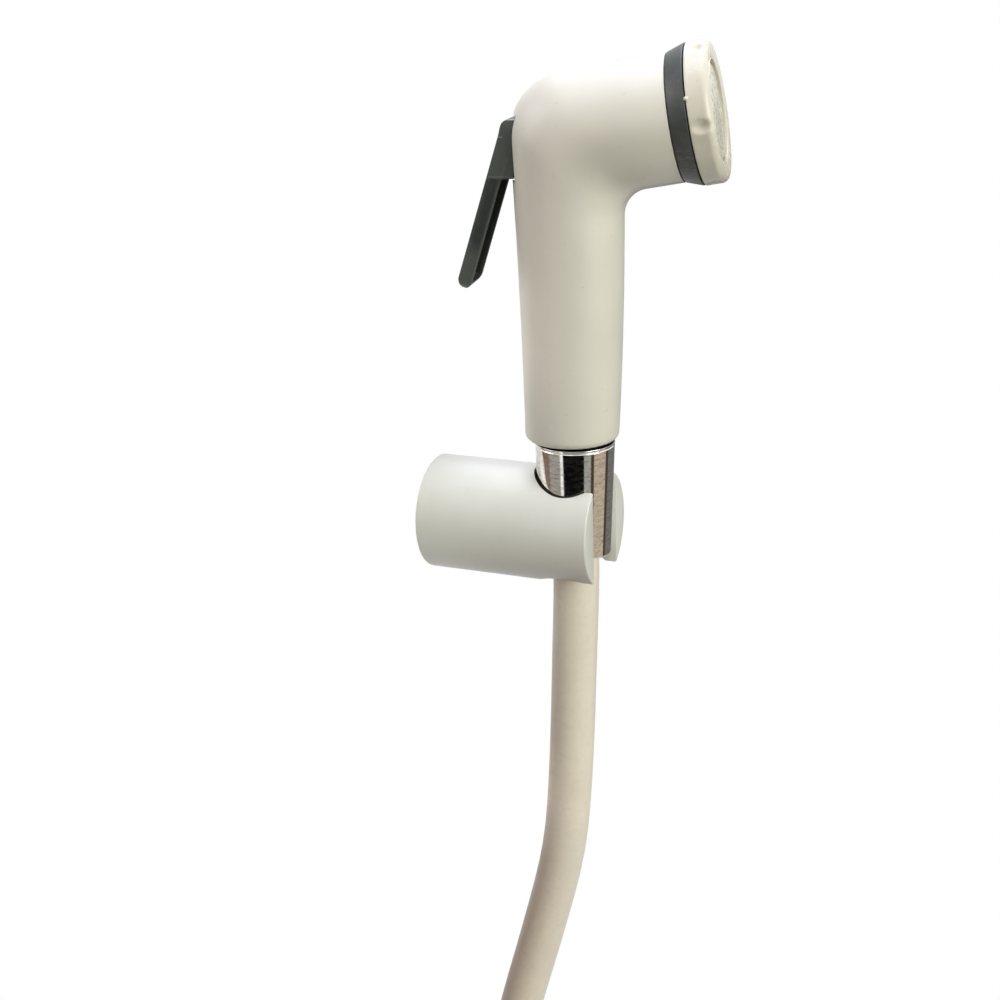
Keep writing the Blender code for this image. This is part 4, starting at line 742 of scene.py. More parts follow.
def body_stations(settings):
    """(inner point, outer point, half width) of each oval section, from the nipple to the spigot."""
    chamfer = 0.6 * MM
    end = GRIP_BASE - NIPPLE_LENGTH
    stations = []
    for height, radius in (
        (end, NIPPLE_RADIUS - chamfer), (end + chamfer, NIPPLE_RADIUS), (GRIP_BASE, NIPPLE_RADIUS),
    ):
        stations.append((Vector((radius, height)), Vector((-radius, height)), radius))
    corner = crotch_centre(settings.crotch_radius)
    span = corner.y - GRIP_BASE
    rises = []
    rim_steps = 8
    for i in range(rim_steps + 1):
        angle = pi / 2 * i / rim_steps
        rises.append((GRIP_RIM * (1 - cos(angle)), GRIP_RIM * (1 - sin(angle))))
    grip_steps = 14
    rises += [(GRIP_RIM + (span - GRIP_RIM) * i / grip_steps, 0.0) for i in range(1, grip_steps)]
    for rise, shrink in rises:
        front = through_three(*GRIP_FRONT, rise / span) - shrink
        back = through_three(*GRIP_BACK, rise / span) - shrink
        height = GRIP_BASE + rise
        stations.append((Vector((front, height)), Vector((-back, height)), (front + back) / 2))
    grip_half = (GRIP_FRONT[2] + GRIP_BACK[2]) / 2
    back_point = Vector((-GRIP_BACK[2], corner.y))
    count = settings.body_sections
    for i in range(count + 1):
        share = i / count
        angle = pi - (pi / 2 - TILT) * share
        direction = Vector((cos(angle), sin(angle)))
        reach = outer_reach(corner, direction, back_point, settings.elbow_radius)
        blend = share * share * (3 - 2 * share)
        half = grip_half + (HEAD_RADIUS - grip_half) * blend
        inner = corner + direction * settings.crotch_radius
        stations.append((inner, corner + direction * reach, half))
    across = Vector((-sin(TILT), cos(TILT)))
    forward = Vector((cos(TILT), sin(TILT)))
    edge = 0.3 * MM
    for along, radius in (
        (SHOULDER - edge, HEAD_RADIUS), (SHOULDER - 0.3 * edge, HEAD_RADIUS - 0.3 * edge),
        (SHOULDER, HEAD_RADIUS - edge), (SHOULDER, SPIGOT_RADIUS), (SPIGOT_END, SPIGOT_RADIUS),
    ):
        centre = Vector((0, HEAD_AXIS_HEIGHT)) + forward * along
        stations.append((centre - across * radius, centre + across * radius, radius))
    return stations


def oval_place(station):
    """The matrix that lays a unit circle onto a station's oval section."""
    inner, outer, half = station
    along = (outer - inner) / 2
    middle = (outer + inner) / 2
    return Matrix((
        (along.x, 0, -along.y, middle.x),
        (0, half, 0, 0),
        (along.y, 0, along.x, middle.y),
        (0, 0, 0, 1),
    ))


def loft(stations, sides):
    """A closed skin: one circle, extruded and reshaped from oval section to section."""
    bm = bmesh.new()
    place = oval_place(stations[0])
    bmesh.ops.create_circle(bm, cap_ends=True, segments=sides, radius=1.0, matrix=place)
    edges = bm.edges[:]
    for station in stations[1:]:
        made = bmesh.ops.extrude_edge_only(bm, edges=edges)["geom"]
        verts = [item for item in made if isinstance(item, bmesh.types.BMVert)]
        edges = [item for item in made if isinstance(item, bmesh.types.BMEdge)]
        last, place = place, oval_place(station)
        bmesh.ops.transform(bm, matrix=place @ last.inverted(), verts=verts)
    bmesh.ops.edgeloop_fill(bm, edges=edges)
    bmesh.ops.recalc_face_normals(bm, faces=bm.faces)
    bmesh.ops.transform(bm, matrix=HANDSET, verts=bm.verts)
    return bm


def pivot_rod(reach, radius):
    """A rod on the lever's axis, to the same reach on both sides."""
    ends = [HANDSET @ Vector((-PIVOT_SETBACK, side, PIVOT_HEIGHT)) for side in (-reach, reach)]
    return rod_between(*ends, radius, PIN_SIDES)


class BIDET_OT_handset_body(bpy.types.Operator):
    """Model the moulded handle and head with its lever pocket and waterways"""
    bl_idname = "bidet.handset_body"
    bl_label = "Handset body"

    def execute(self, context):
        settings = context.scene.bidet_shape
        obj = as_object("body_shell", loft(body_stations(settings), BODY_SIDES))
        side = LEVER_WIDTH / 2 + 0.4 * MM
        pocket = box_between(
            (POCKET_FLOOR - 25 * MM, -side, BLOCK_FOOT - 0.9 * MM),
            (POCKET_FLOOR, side, CROWN + 1.0 * MM), HANDSET,
        )
        sockets = pivot_rod(LEVER_WIDTH / 2 + TRUNNION_REACH + GAP, TRUNNION_RADIUS + GAP)
        steps = settings.round_steps // 2
        inlet = GRIP_BASE - NIPPLE_LENGTH - MM
        cavity_top = HEAD_AXIS_HEIGHT - 19.86 * MM
        grip = spun([
            (0, inlet), (NIPPLE_BORE, inlet), (NIPPLE_BORE, GRIP_BASE + 2 * MM), (10 * MM, 37 * MM),
            (11.3 * MM, cavity_top - 6 * MM), (7 * MM, cavity_top), (0, cavity_top),
        ], steps, HANDSET, closed=False)
        duct_side, duct_radius = -2 * MM, 3.8 * MM
        duct = rod_between(
            HANDSET @ Vector((duct_side, 0, cavity_top - 3 * MM)),
            HANDSET @ Vector((duct_side, 0, HEAD_AXIS_HEIGHT - VALVE_DROP - 3 * MM)), duct_radius, 24,
        )
        stem_bore, chamber = 4.3 * MM, 6.5 * MM
        valve_back, valve_front = -19.4 * MM, 6.6 * MM
        valve_way = spun([
            (0, valve_back), (stem_bore, valve_back), (stem_bore, -5.6 * MM), (chamber, -5.0 * MM),
            (chamber, 0.8 * MM), (stem_bore, 1.4 * MM), (stem_bore, valve_front), (0, valve_front),
        ], steps, VALVE, closed=False)
        cavity, seat = 12.6 * MM, 13.4 * MM
        cavity_back, seat_back, mouth = 4.6 * MM, 22.6 * MM, SPIGOT_END + 2 * MM
        head_cavity = spun([
            (0, cavity_back), (11.6 * MM, cavity_back), (cavity, 5.6 * MM), (cavity, seat_back),
            (seat, seat_back), (seat, mouth), (0, mouth),
        ], steps, HEAD, closed=False)
        for cut in (grip, duct, valve_way, head_cavity, pocket, sockets):
            carve(obj, ("DIFFERENCE", cut))
        dress(obj, "body_plastic", "handset_body", sharp=30)
        return {"FINISHED"}


# The lever

LEVER_LEAN = radians(17.7)
LEVER_THICKNESS = 4.1 * MM
LEVER_TIP = Vector((-30.5 * MM, PIVOT_HEIGHT - 45.6 * MM + LEVER_THICKNESS / 2))
# Up the bar and out to its back, (x, z) in the handset's frame
LEVER_UP = Vector((sin(LEVER_LEAN), cos(LEVER_LEAN)))
LEVER_OUT = Vector((-cos(LEVER_LEAN), sin(LEVER_LEAN)))
LIP_PROUD = 0.2 * MM

# The tip is an oval, longer than half the bar's thickness
TIP_LENGTH = 1.6 * LEVER_THICKNESS / 2
CHANNEL_WALL = 1.8 * MM
CHANNEL_BACK = 1.7 * MM

# The bar's frame: X up it, Y across and Z out to its back
BAR = HANDSET @ Matrix((
    (LEVER_UP.x, 0, LEVER_OUT.x, LEVER_TIP.x),
    (0, 1, 0, 0),
    (LEVER_UP.y, 0, LEVER_OUT.y, LEVER_TIP.y),
    (0, 0, 0, 1),
))


def lever_outline():
    """Side outline of the lever, (x, z) in the handset's frame, without its channel."""
    radius = LEVER_THICKNESS / 2
    heel = PIVOT_HEIGHT - 1.8 * MM
    front = -15.0 * MM
    tip_points = 12
    inner_foot, outer_foot = LEVER_TIP - LEVER_OUT * radius, LEVER_TIP + LEVER_OUT * radius
    inner_top = inner_foot + LEVER_UP * (BLOCK_FOOT - inner_foot.y) / LEVER_UP.y
    outer_top = outer_foot + LEVER_UP * (heel - outer_foot.y) / LEVER_UP.y
    points = [(front, BLOCK_FOOT), (front, PIVOT_HEIGHT - 2.3 * LEVER_BOSS)]
    points += arc((-PIVOT_SETBACK, PIVOT_HEIGHT), LEVER_BOSS, radians(-110), radians(90), 20)
    # The round at the back of the crown: how far in and how far down each point lies, in mm
    for into, down in ((2.2, 0.3), (1.6, 0.6), (1.1, 1.1), (0.75, 1.7), (0.5, 2.4)):
        points.append((outer_top.x + into * MM, CROWN - down * MM))
    points.append(tuple(outer_top))
    for i in range(tip_points):
        turn = pi * i / (tip_points - 1)
        below = radius - TIP_LENGTH * (1 - sin(turn))
        points.append(tuple(LEVER_TIP + LEVER_OUT * radius * cos(turn) - LEVER_UP * below))
    points.append(tuple(inner_top))
    return points


def bar_outline(inset, length, steps):
    """The bar seen from behind, drawn in by a wall: a strip with a rounded end, (up, across)."""
    half = LEVER_WIDTH / 2 - inset
    corner = max(3.2 * MM - inset, 0.8 * MM)
    low = -LEVER_THICKNESS / 2 + inset
    points = [(length, half), (length, -half)]
    for side, start in ((corner - half, pi), (half - corner, 1.5 * pi)):
        turned = arc((side, low + corner), corner, start, start + 0.5 * pi, steps)
        points += [(b, a) for a, b in turned]
    return points


class BIDET_OT_trigger_lever(bpy.types.Operator):
    """Model the channel-shaped lever on its stub pins"""
    bl_idname = "bidet.trigger_lever"
    bl_label = "Trigger lever"

    def execute(self, context):
        half = LEVER_WIDTH / 2
        bm = slab(lever_outline(), -half, half, HANDSET @ STANDING)
        turned = HANDSET.to_3x3()
        out = turned @ Vector((LEVER_OUT.x, 0, LEVER_OUT.y))
        across = turned @ Vector((0, 1, 0))
        tip = HANDSET @ Vector((LEVER_TIP.x, 0, LEVER_TIP.y))
        reach = LEVER_THICKNESS / 2 - 0.1 * MM
        back_edges = [
            e for e in bm.edges
            if abs((e.verts[0].co - e.verts[1].co).dot(across)) < TINY
            and all(out.dot(v.co - tip) > reach for v in e.verts)
        ]
        back_round = 1.8 * MM
        bevel_edges(bm, back_edges, back_round, 7, True)
        obj = as_object("lever_shell", bm)
        top = (PIVOT_HEIGHT + 2 * LEVER_BOSS - LEVER_TIP.y) / LEVER_UP.y
        channel_top = (BLOCK_FOOT - GAP - LEVER_TIP.y) / LEVER_UP.y
        well_past = 30 * MM
        corners = slab(bar_outline(0.0, top, 14), -well_past, well_past, BAR)
        channel_floor = LEVER_THICKNESS / 2 - CHANNEL_BACK
        channel = slab(bar_outline(CHANNEL_WALL, channel_top, 12), -10 * MM, channel_floor, BAR)
        carve(obj, ("INTERSECT", corners), ("DIFFERENCE", channel))
        soften(obj, 0.30 * MM, 3)
        lip_back, lip_front, lip_top = -22.5 * MM, -15.2 * MM, BLOCK_FOOT + 0.7 * MM
        lip_side = half + LIP_PROUD
        lip = box_between((lip_back, -lip_side, BLOCK_FOOT), (lip_front, lip_side, lip_top), HANDSET)
        bevel_edges(lip, lip.edges[:], 0.15 * MM, 2, True)
        carve(obj, ("UNION", pivot_rod(half + TRUNNION_REACH, TRUNNION_RADIUS)), ("UNION", lip))
        dress(obj, "grey_plastic", "trigger_lever", body="lever")
        return {"FINISHED"}


# The parts at the spray face

class BIDET_OT_spray_head(bpy.types.Operator):
    """Model the trim ring, the notched cap and the perforated spray plate"""
    bl_idname = "bidet.spray_head"
    bl_label = "Spray head"

    def execute(self, context):
        settings = context.scene.bidet_shape
        steps = settings.round_steps
        thread = SPIGOT_RADIUS + GAP
        low = SHOULDER + GAP
        high = low + 5.0 * MM
        ring = spun(rounded([
            (thread, low, 0), (HEAD_RADIUS + 0.05 * MM, low, 0.35 * MM),
            (CAP_RADIUS - 0.05 * MM, high, 0.35 * MM), (thread, high, 0),
        ]), steps, HEAD)
        dress(as_object("trim_ring", ring), "grey_plastic", "head_ring", sharp=45)
        self.cap(settings, steps, thread)
        self.plate(steps, thread)
        return {"FINISHED"}

    def cap(self, settings, steps, thread):
        """The cap: a turned shell whose side is pressed in at five places, with its moulded stop."""
        lip, lip_back = thread - 1.8 * MM, CAP_FRONT - 1.3 * MM
        back_round, front_round = 0.3 * MM, 2.0 * MM
        start, end = CAP_BACK + back_round, CAP_FRONT - front_round
        rows = 12
        outline = [(CAP_RADIUS - back_round, CAP_BACK)]
        outline += arc((CAP_RADIUS - back_round, start), back_round, -pi / 2, 0, 3)[1:]
        outline += [(CAP_RADIUS, start + (end - start) * i / rows) for i in range(1, rows)]
        outline += arc((CAP_RADIUS - front_round, end), front_round, 0, pi / 2, 10)
        outline += rounded([
            (lip, CAP_FRONT, 0.5 * MM), (lip, lip_back, 0.3 * MM), (thread, lip_back, 0),
            (thread, CAP_BACK, 0),
        ])
        bm = spun(outline, 2 * steps)
        middle = (CAP_BACK + CAP_FRONT) / 2
        half_long, half_wide = 3.0 * MM, 2.1 * MM
        notches, first, stop = 5, radians(-5.4), radians(17.7)
        for i in range(notches):
            angle = first + 2 * pi * i / notches
            toward = Vector((-sin(angle), -cos(angle), 0))
            beside = Vector((-toward.y, toward.x, 0))
            for vert in bm.verts:
                out = vert.co.x * toward.x + vert.co.y * toward.y
                if out < 0.8 * CAP_RADIUS or vert.co.xy.length < thread + 0.4 * MM:
                    continue
                along, across = (vert.co.z - middle) / half_long, vert.co.dot(beside) / half_wide
                spread = along ** 2 + across ** 2
                if spread < 1:
                    vert.co -= toward * settings.notch_depth * (1 - spread) ** 1.5
        bmesh.ops.transform(bm, matrix=HEAD, verts=bm.verts)
        nub = bmesh.new()
        toward = Vector((-sin(stop), -cos(stop), 0))
        sunk, nub_radius = 0.1 * MM, 0.65 * MM
        spot = toward * (CAP_RADIUS - sunk) + Vector((0, 0, CAP_BACK + sunk))
        bmesh.ops.create_uvsphere(
            nub, u_segments=20, v_segments=12, radius=nub_radius,
            matrix=HEAD @ Matrix.Translation(spot),
        )
        obj = carve(as_object("cap_shell", bm), ("UNION", nub))
        dress(obj, "cream_plastic", "face_cap", sharp=50)

    def plate(self, steps, thread):
        """The spray plate: a turned disc with a raised field and rings of holes."""
        flange = thread - 2 * GAP
        flange_top = PLATE_FRONT + 1.4 * MM
        field_top = flange_top + 0.7 * MM
        field = 13.2 * MM
        bm = spun([
            (0, PLATE_FRONT), (flange, PLATE_FRONT), (flange, flange_top), (field, flange_top),
            (field - 0.1 * MM, flange_top + 0.35 * MM), (field - 0.25 * MM, field_top - 0.1 * MM),
            (field - 0.5 * MM, field_top), (0, field_top),
        ], steps, closed=False)
        obj = as_object("plate_shell", bm)
        holes = bmesh.new()
        spots = [(0.0, 0.0)]
        pitch, hole = 3.4 * MM, 0.55 * MM
        for ring in range(1, 4):
            for i in range(6 * ring):
                angle = 2 * pi * i / (6 * ring)
                spots.append((ring * pitch * cos(angle), ring * pitch * sin(angle)))
        for x, y in spots:
            bmesh.ops.create_cone(
                holes, cap_ends=True, segments=16, radius1=hole, radius2=hole, depth=8 * MM,
                matrix=Matrix.Translation((x, y, PLATE_FRONT + MM)),
            )
        carve(obj, ("DIFFERENCE", holes))
        obj.data.transform(HEAD)
        dress(obj, "cream_plastic", "spray_plate", sharp=35)


# The hose nut

class BIDET_OT_hose_nut(bpy.types.Operator):
    """Model the conical chrome nut with its bead"""
    bl_idname = "bidet.hose_nut"
    bl_label = "Hose nut"

    def execute(self, context):
        settings = context.scene.bidet_shape
        top = GRIP_BASE - GAP
        foot = NUT_LOW.z
        outer = NUT_HIGH.x - BORE_X
        foot_radius = 10.6 * MM
        bead = 1.0 * MM
        slope = (outer - foot_radius) / (top - foot)
        groove = top - bead - 0.3 * MM
        groove_radius = outer - 0.35 * MM
        bore = settings.hose_diameter / 2 + HOSE_GAP
        shoulder = 13.8 * MM
        body_top = outer - slope * (top - groove) - 0.05 * MM
        outline = rounded([
            (NUT_THREAD_RADIUS, top, 0.2 * MM),
            (outer - 1.0 * MM, top, 0.1 * MM),
            (outer - 1.0 * MM, top - JOINT_DEPTH, 0.1 * MM),
            (outer, top - JOINT_DEPTH, 0.2 * MM),
            (outer, top - bead, 0.3 * MM),
            (groove_radius, top - bead - 0.05 * MM, 0.1 * MM),
            (groove_radius, groove, 0.1 * MM),
            (body_top, groove - 0.3 * MM, 0.15 * MM),
            (foot_radius, foot, 0.6 * MM),
            (bore, foot, 0.3 * MM),
            (bore, shoulder, 0),
            (NUT_THREAD_RADIUS, shoulder, 0),
        ], 5)
        nut = as_object("nut_shell", spun(outline, settings.round_steps, HANDSET))
        dress(nut, "chrome_plating", "hose_nut", sharp=50)
        return {"FINISHED"}


# The cradle, its plate and screws

class BIDET_OT_cradle(bpy.types.Operator):
    """Model the round cradle with its bore and slot"""
    bl_idname = "bidet.cradle"
    bl_label = "Wall cradle"

    def execute(self, context):
        settings = context.scene.bidet_shape
        steps = settings.round_steps
        radius, length = CRADLE_HIGH.z, CRADLE_HIGH.x
        depth, over = 30 * MM, 6 * MM
        inside = radius - 2.4 * MM
        shell = spun(rounded([
            (radius, 0, 0.6 * MM), (radius, length, 0.6 * MM), (0, length, 0), (0, depth, 0),
            (inside - 2 * MM, depth, 0), (inside, depth - 2 * MM, 0), (inside, 0, 0),
        ]), steps, OUT_OF_WALL)
        ledge = NUT_LOW.z - GAP
        seat, ledge_hole, half_slot = 11.6 * MM, 8.2 * MM, 10.05 * MM
        slope = (BORE_MOUTH - seat) / (sqrt(radius ** 2 - BORE_MOUTH ** 2) - ledge)
        top = radius + over
        start = ledge - 2 * MM
        low_radius, high_radius = seat - slope * (ledge - start), seat + slope * (top - ledge)
        upright = Matrix.Translation((BORE_X, 0, 0))
        bore = as_object("bore", spun([
            (0, -top), (low_radius, -top), (low_radius, start), (high_radius, top), (0, top),
        ], steps, upright, closed=False))
        front = radians(82)
        outline = arc((0, 0), ledge_hole, front, 2 * pi - front, 60)
        outline += arc((0, 0), seat + 2 * MM, 2 * pi - front, front, 60)
        carve(bore, ("DIFFERENCE", slab(outline, ledge - 5.5 * MM, ledge, upright)))
        way_down = bmesh.new()
        way_down.from_mesh(bore.data)
        bpy.data.objects.remove(bore)
        slot = box_between((BORE_X + 2 * MM, -half_slot, -top), (length + over, half_slot, top))
        obj = as_object("cradle_shell", shell)
        carve(obj, ("DIFFERENCE", way_down), ("DIFFERENCE", slot))
        soften(obj, settings.edge_width)
        dress(obj, "cradle_plastic", "holder_body", sharp=30)
        return {"FINISHED"}


class BIDET_OT_small_parts(bpy.types.Operator):
    """Give the inner and hidden parts their finishes"""
    bl_idname = "bidet.small_parts"
    bl_label = "Small parts"

    def execute(self, context):
        slots = {s["node"]: s["material_slot"] for s in frame["record"]["subparts"]}
        for name, obj in frame["nodes"].items():
            if obj.hide_render:
                continue
            obj.data.materials.clear()
            obj.data.materials.append(finish(slots[name]))
        return {"FINISHED"}


# The hose

def hose_points(settings):
    """The hose's centre line: its route, two turns of coil moving out a layer each, and the tail."""
    points = smooth_route([(x, 0, z) for x, z in HOSE_ROUTE], 32)
    start = points[-1]
    pitch = settings.hose_diameter + 2 * GAP
    coil_radius = (COIL_HIGH.z - COIL_LOW.z) / 2 - settings.hose_diameter / 2
    turns, per_turn = 2, 48
    leave, join = radians(272), radians(338)
    for i in range(1, turns * per_turn + 1):
        angle = 2 * pi * i / per_turn
        turn = (i - 1) // per_turn
        share = min(1.0, max(0.0, (angle - 2 * pi * turn - leave) / (join - leave)))
        layer = turn + share * share * (3 - 2 * share)
        points.append(Vector((
            start.x + pitch * layer,
            coil_radius * (cos(angle) - 1),
            start.z - coil_radius * sin(angle),
        )))
    below = points[-1]
    end = SUPPLY_HIGH.z - 1.0 * MM
    tail_steps = 6
    for i in range(1, tail_steps + 1):
        points.append(Vector((below.x, below.y, below.z + (end - below.z) * i / tail_steps)))
    return points


class BIDET_OT_hose(bpy.types.Operator):
    """Model the hose at its full length, with its tie and supply nut"""
    bl_idname = "bidet.hose"
    bl_label = "Hose"

    def execute(self, context):
        settings = context.scene.bidet_shape
        curve = bpy.data.curves.new("hose_line", "CURVE")
        curve.dimensions = "3D"
        curve.bevel_depth = settings.hose_diameter / 2
        curve.bevel_resolution = 14
        curve.use_fill_caps = True
        points = hose_points(settings)
        spline = curve.splines.new("POLY")
        spline.points.add(len(points) - 1)
        for target, point in zip(spline.points, points):
            target.co = (*point, 1)
            target.radius = 1.0
        spline.use_smooth = True
        hose = bpy.data.objects.new("hose_line", curve)
        context.scene.collection.objects.link(hose)
        dress(hose, "hose_vinyl", "hose", "hose_coil", "hose_tail")
        nut = self.supply_nut(settings)
        tie = self.tie(settings)
        return {"FINISHED"}

    def supply_nut(self, settings):
        """The hexagon nut at the supply end, with chamfered corners and a round neck."""
        x, y = (SUPPLY_LOW.x + SUPPLY_HIGH.x) / 2, (SUPPLY_LOW.y + SUPPLY_HIGH.y) / 2
        low, neck_top = SUPPLY_LOW.z, SUPPLY_HIGH.z
        hex_top = neck_top - 7.0 * MM
        flat, neck_radius = 12.0 * MM, 10.5 * MM
        place = Matrix.Translation((x, y, 0))
        full_corner = flat / cos(pi / 6)
        bm = bmesh.new()
        bmesh.ops.create_cone(
            bm, cap_ends=True, segments=6, radius1=full_corner, radius2=full_corner,
            depth=hex_top - low, matrix=Matrix.Translation((x, y, (hex_top + low) / 2)),
        )
        obj = as_object("supply_nut_shell", bm)
        steps = settings.round_steps
        rounding = flat + 0.6 * MM
        rounder = spun([
            (0, low - MM), (rounding - MM, low - MM), (full_corner + MM, low + 1.2 * MM),
            (full_corner + MM, hex_top - 1.2 * MM), (rounding - MM, hex_top + MM), (0, hex_top + MM),
        ], steps, place, closed=False)
        neck_foot = hex_top - 2 * MM
        neck = spun(rounded([
            (0, neck_foot, 0), (neck_radius, neck_foot, 0), (neck_radius, neck_top, 0.8 * MM),
            (0, neck_top, 0),
        ]), steps, place, closed=False)
        hole = settings.hose_diameter / 2 + HOSE_GAP
        shoulder = low + 10.0 * MM
        bore = spun([
            (0, low - MM), (NUT_THREAD_RADIUS, low - MM), (NUT_THREAD_RADIUS, shoulder),
            (hole, shoulder), (hole, neck_top + MM), (0, neck_top + MM),
        ], steps, place, closed=False)
        carve(obj, ("INTERSECT", rounder), ("UNION", neck), ("DIFFERENCE", bore))
        dress(obj, "chrome_plating", "supply_nut", sharp=30)
        return obj

    def tie(self, settings):
        """A flat band round the two turns, at the top of the coil."""
        low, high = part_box("coil_tie")
        inside = settings.hose_diameter / 2 + 1.5 * GAP
        half = (high.x - low.x) / 2 - (high.z - low.z) / 2
        thickness = (high.z - low.z) / 2 - inside
        place = Matrix.Translation((low + high) / 2) @ STANDING
        outlines = []
        for radius in (inside + thickness, inside):
            outline = arc((half, 0), radius, -pi / 2, pi / 2, 24)
            outlines.append(outline + arc((-half, 0), radius, pi / 2, 1.5 * pi, 24))
        reach = (high.y - low.y) / 2
        obj = as_object("tie_band", slab(outlines[0], -reach, reach, place))
        carve(obj, ("DIFFERENCE", slab(outlines[1], -2 * reach, 2 * reach, place)))
        soften(obj, settings.edge_width)
        dress(obj, "tie_plastic", "coil_tie")
        return obj


# The stage

# Sides that the soft light comes from, turned with the camera, and its colour from each
SOFT_LIGHT = (
    ((0, 0, 1), (0.74, 0.74, 0.76)),
    ((0, -1, 0), (0.41, 0.36, 0.28)),
    ((-1, 0, 0), (0.28, 0.26, 0.24)),
)

# Lamps: name, place, size, power and colour
LAMPS = (
    ("lamp_top", (0.05, -0.05, 1.30), 0.9, 7.0, (0.69, 0.78, 1.00)),
    ("lamp_back", (-0.10, 0.70, 1.10), 0.9, 7.2, (0.83, 0.86, 1.00)),
    ("lamp_right", (0.95, -0.25, 0.30), 0.7, 7.7, (0.96, 1.00, 0.93)),
    ("lamp_left", (-0.95, -0.45, 0.60), 0.7, 4.4, (1.00, 0.95, 0.93)),
    ("lamp_above", (-0.25, -0.55, 1.10), 0.9, 1.1, (0.90, 0.97, 1.00)),
)


def white_where_seen(add, plain, white):
    """One shader for diffuse light, and a white one for the camera, mirrors and clear pieces."""
    rays = add("LightPath").node.outputs
    seen = add("Math", {0: rays["Is Camera Ray"], 1: rays["Is Glossy Ray"]}, operation="MAXIMUM")
    seen = add("Math", {0: seen, 1: rays["Is Transmission Ray"]}, operation="MAXIMUM")
    return add("MixShader", {0: seen, 1: plain, 2: white})


def white_for_camera(name, colour, clear_behind):
    """A matt surface that the camera and mirrors see as plain white, clear from behind if asked."""
    made, add = bare_material(name)
    matt = add("BsdfDiffuse", {"Color": colour})
    white = add("Emission", {"Color": grey(1.0), "Strength": 1.0})
    surface = white_where_seen(add, matt, white)
    if clear_behind:
        back = add("NewGeometry").node.outputs["Backfacing"]
        surface = add("MixShader", {0: back, 1: surface, 2: add("BsdfTransparent")})
    add("OutputMaterial", {"Surface": surface})
    return made


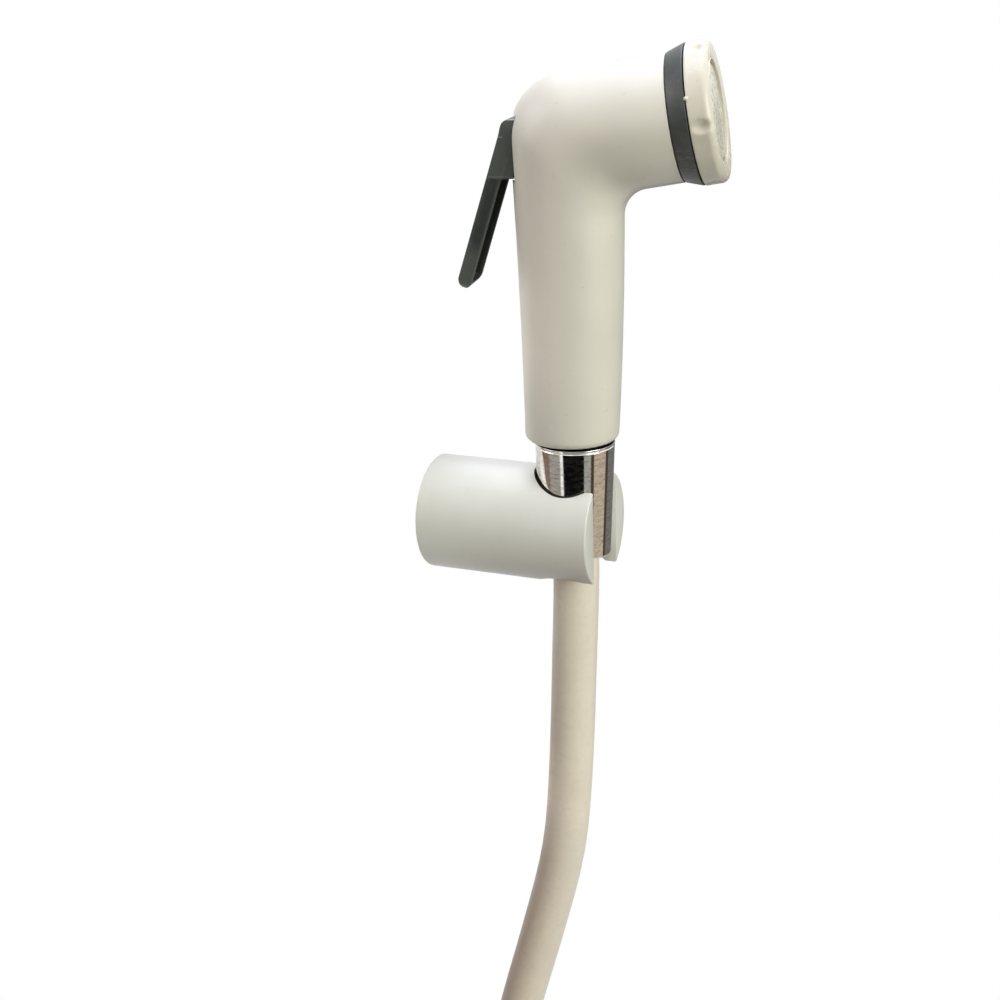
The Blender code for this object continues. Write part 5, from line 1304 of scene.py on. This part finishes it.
class BIDET_OT_stage(bpy.types.Operator):
    """Set up the camera, the soft studio light, the pale floor, the wall and the cards"""
    bl_idname = "bidet.stage"
    bl_label = "Stage"

    def execute(self, context):
        stage = context.scene.bidet_stage
        context.scene.view_settings.view_transform = "Standard"
        self.camera(context, stage)
        self.world(context, stage)
        self.lamps(context)
        self.surfaces(stage)
        self.cards(stage)
        return {"FINISHED"}

    def camera(self, context, stage):
        data = bpy.data.cameras.new("view_camera")
        data.lens = stage.focal_length
        data.sensor_width = 36.0
        data.clip_start = 0.01
        camera = bpy.data.objects.new("view_camera", data)
        context.scene.collection.objects.link(camera)
        yaw = Matrix.Rotation(stage.camera_yaw, 4, "Z")
        pitch = Matrix.Rotation(pi / 2 - stage.camera_pitch, 4, "X")
        roll = Matrix.Rotation(stage.camera_roll, 4, "Z")
        camera.matrix_world = Matrix.Translation(stage.camera_place) @ (yaw @ pitch) @ roll
        context.scene.camera = camera

    def world(self, context, stage):
        """Soft light from three sides, each fading over a quarter turn, and white where seen."""
        world = bpy.data.worlds.new("studio")
        context.scene.world = world
        world.use_nodes = True
        world.node_tree.nodes.clear()
        add = partial(add_node, world.node_tree)
        toward = add("TexCoord").node.outputs["Generated"]
        turn = Matrix.Rotation(stage.camera_yaw, 3, "Z")
        total = grey(0.0)
        for side, colour in SOFT_LIGHT:
            level = add("VectorMath", {0: toward, 1: turn @ Vector(side)}, operation="DOT_PRODUCT")
            level = add("Math", {0: level, 1: 0.0}, operation="MAXIMUM")
            level = add("Math", {0: level, 1: 2.0}, operation="POWER")
            tinted = add("Mix", {0: level, 6: grey(0.0), 7: colour}, data_type="RGBA")
            total = add("Mix", {0: 1.0, 6: total, 7: tinted}, data_type="RGBA", blend_type="ADD")
        light = add("Background", {"Color": total, "Strength": 1.0})
        white = add("Background", {"Color": grey(1.0), "Strength": 1.0})
        add("OutputWorld", {"Surface": white_where_seen(add, light, white)})

    def lamps(self, context):
        """Soft round lamps, all turned to the handset's lower end."""
        aim = Vector((BORE_X, 0, 0.06))
        for name, place, size, power, colour in LAMPS:
            data = bpy.data.lights.new(name, "AREA")
            data.shape = "DISK"
            data.size = size
            data.energy = power
            data.color = colour
            lamp = bpy.data.objects.new(name, data)
            context.scene.collection.objects.link(lamp)
            lamp.location = place
            lamp.rotation_euler = (aim - Vector(place)).to_track_quat("-Z", "Y").to_euler()

    def surfaces(self, stage):
        """The floor, the wall tile that the screws go into, and the darker wall behind the hose."""
        behind = -0.4 * MM
        on_floor = Matrix.Translation((0, 0, stage.floor_height))
        on_tile = Matrix.Translation((behind, -35 * MM, 5 * MM)) @ OUT_OF_WALL
        low_on_wall = Matrix.Translation((behind, 0, -220 * MM)) @ OUT_OF_WALL
        for name, material, place, half, colour in (
            ("floor", "paper_white_floor", on_floor, (4.0, 4.0), grey(0.08)),
            ("wall_tile", "wall_tile_matt", on_tile, (60 * MM, 75 * MM), grey(0.8)),
            ("wall_low", "wall_low_matt", low_on_wall, (145 * MM, 120 * MM), (0.20, 0.14, 0.11)),
        ):
            bm = bmesh.new()
            spread = Matrix.Diagonal((*half, 1, 1))
            bmesh.ops.create_grid(bm, x_segments=1, y_segments=1, size=1.0, matrix=place @ spread)
            surface = as_object(name, bm)
            is_wall = name != "floor"
            surface.data.materials.append(white_for_camera(material, colour, is_wall))
            surface.visible_glossy = not is_wall

    def cards(self, stage):
        """Upright cards that only mirrors see: what stands round a chromed part in a studio."""
        facing = degrees(atan2(stage.camera_place[1], stage.camera_place[0] - BORE_X))
        radius, low, high = 0.60, stage.floor_height + 0.01, 0.10
        for name, start, end, colour in (
            ("card_dark", -35, 26, linear("0B0B0C")),
            ("card_green", 26, 47, linear("A3A59D")),
            ("card_umber", 47, 57, linear("4A3A31")),
            ("card_tan", 57, 100, linear("C3B5A1")),
            ("card_umber_far", 100, 112, linear("4C4038")),
            ("card_slate", 112, 178, linear("757573")),
            ("card_grey", -80, -44, linear("A6A19B")),
            ("card_brown", -104, -80, linear("8B7568")),
            ("card_umber_left", -110, -104, linear("4A3C35")),
        ):
            bm = bmesh.new()
            foot = Matrix.Rotation(radians(facing + start), 4, "Z") @ Vector((radius, 0, low))
            head = Vector((foot.x, foot.y, high))
            verts = [bm.verts.new(foot), bm.verts.new(head)]
            edge = bm.edges.new(verts)
            bmesh.ops.spin(
                bm, geom=verts + [edge], cent=(0, 0, 0), axis=(0, 0, 1),
                angle=radians(end - start), steps=12, use_merge=False, use_duplicate=False,
            )
            bmesh.ops.translate(bm, vec=(BORE_X, 0, 0), verts=bm.verts)
            card = as_object(name, bm)
            # Each card glows in a flat colour, lights nothing and shows only in the chrome's reflections.
            made, add = bare_material(f"paper_{name}")
            glow = add("Emission", {"Color": colour, "Strength": 1.0})
            add("OutputMaterial", {"Surface": glow})
            card.data.materials.append(made)
            for kind in ("camera", "diffuse", "shadow", "transmission"):
                setattr(card, "visible_" + kind, False)


class BIDET_PT_panel(bpy.types.Panel):
    """Lists the shower's pieces and settings"""
    bl_label = "Bidet Shower"
    bl_idname = "BIDET_PT_panel"
    bl_space_type = "VIEW_3D"
    bl_region_type = "UI"
    bl_category = "Bidet Shower"

    def draw(self, context):
        for operator in OPERATORS:
            self.layout.operator(operator.bl_idname)
        scene = context.scene
        for group in (scene.bidet_shape, scene.bidet_finish, scene.bidet_stage):
            box = self.layout.box()
            for name in group.__annotations__:
                box.prop(group, name)


OPERATORS = (
    BIDET_OT_stage,
    BIDET_OT_hose,
    BIDET_OT_handset_body,
    BIDET_OT_trigger_lever,
    BIDET_OT_spray_head,
    BIDET_OT_hose_nut,
    BIDET_OT_cradle,
    BIDET_OT_small_parts,
)
CLASSES = (BidetShapeSettings, BidetFinishSettings, BidetStageSettings, *OPERATORS, BIDET_PT_panel)


def register():
    for item in CLASSES:
        bpy.utils.register_class(item)
    bpy.types.Scene.bidet_shape = PointerProperty(type=BidetShapeSettings)
    bpy.types.Scene.bidet_finish = PointerProperty(type=BidetFinishSettings)
    bpy.types.Scene.bidet_stage = PointerProperty(type=BidetStageSettings)


def unregister():
    del bpy.types.Scene.bidet_shape
    del bpy.types.Scene.bidet_finish
    del bpy.types.Scene.bidet_stage
    for item in reversed(CLASSES):
        bpy.utils.unregister_class(item)


def main():
    register()
    bpy.ops.bidet.stage()
    bpy.ops.bidet.hose()
    bpy.ops.bidet.handset_body()
    bpy.ops.bidet.trigger_lever()
    bpy.ops.bidet.spray_head()
    bpy.ops.bidet.hose_nut()
    bpy.ops.bidet.cradle()
    bpy.ops.bidet.small_parts()


if __name__ == "__main__":
    main()
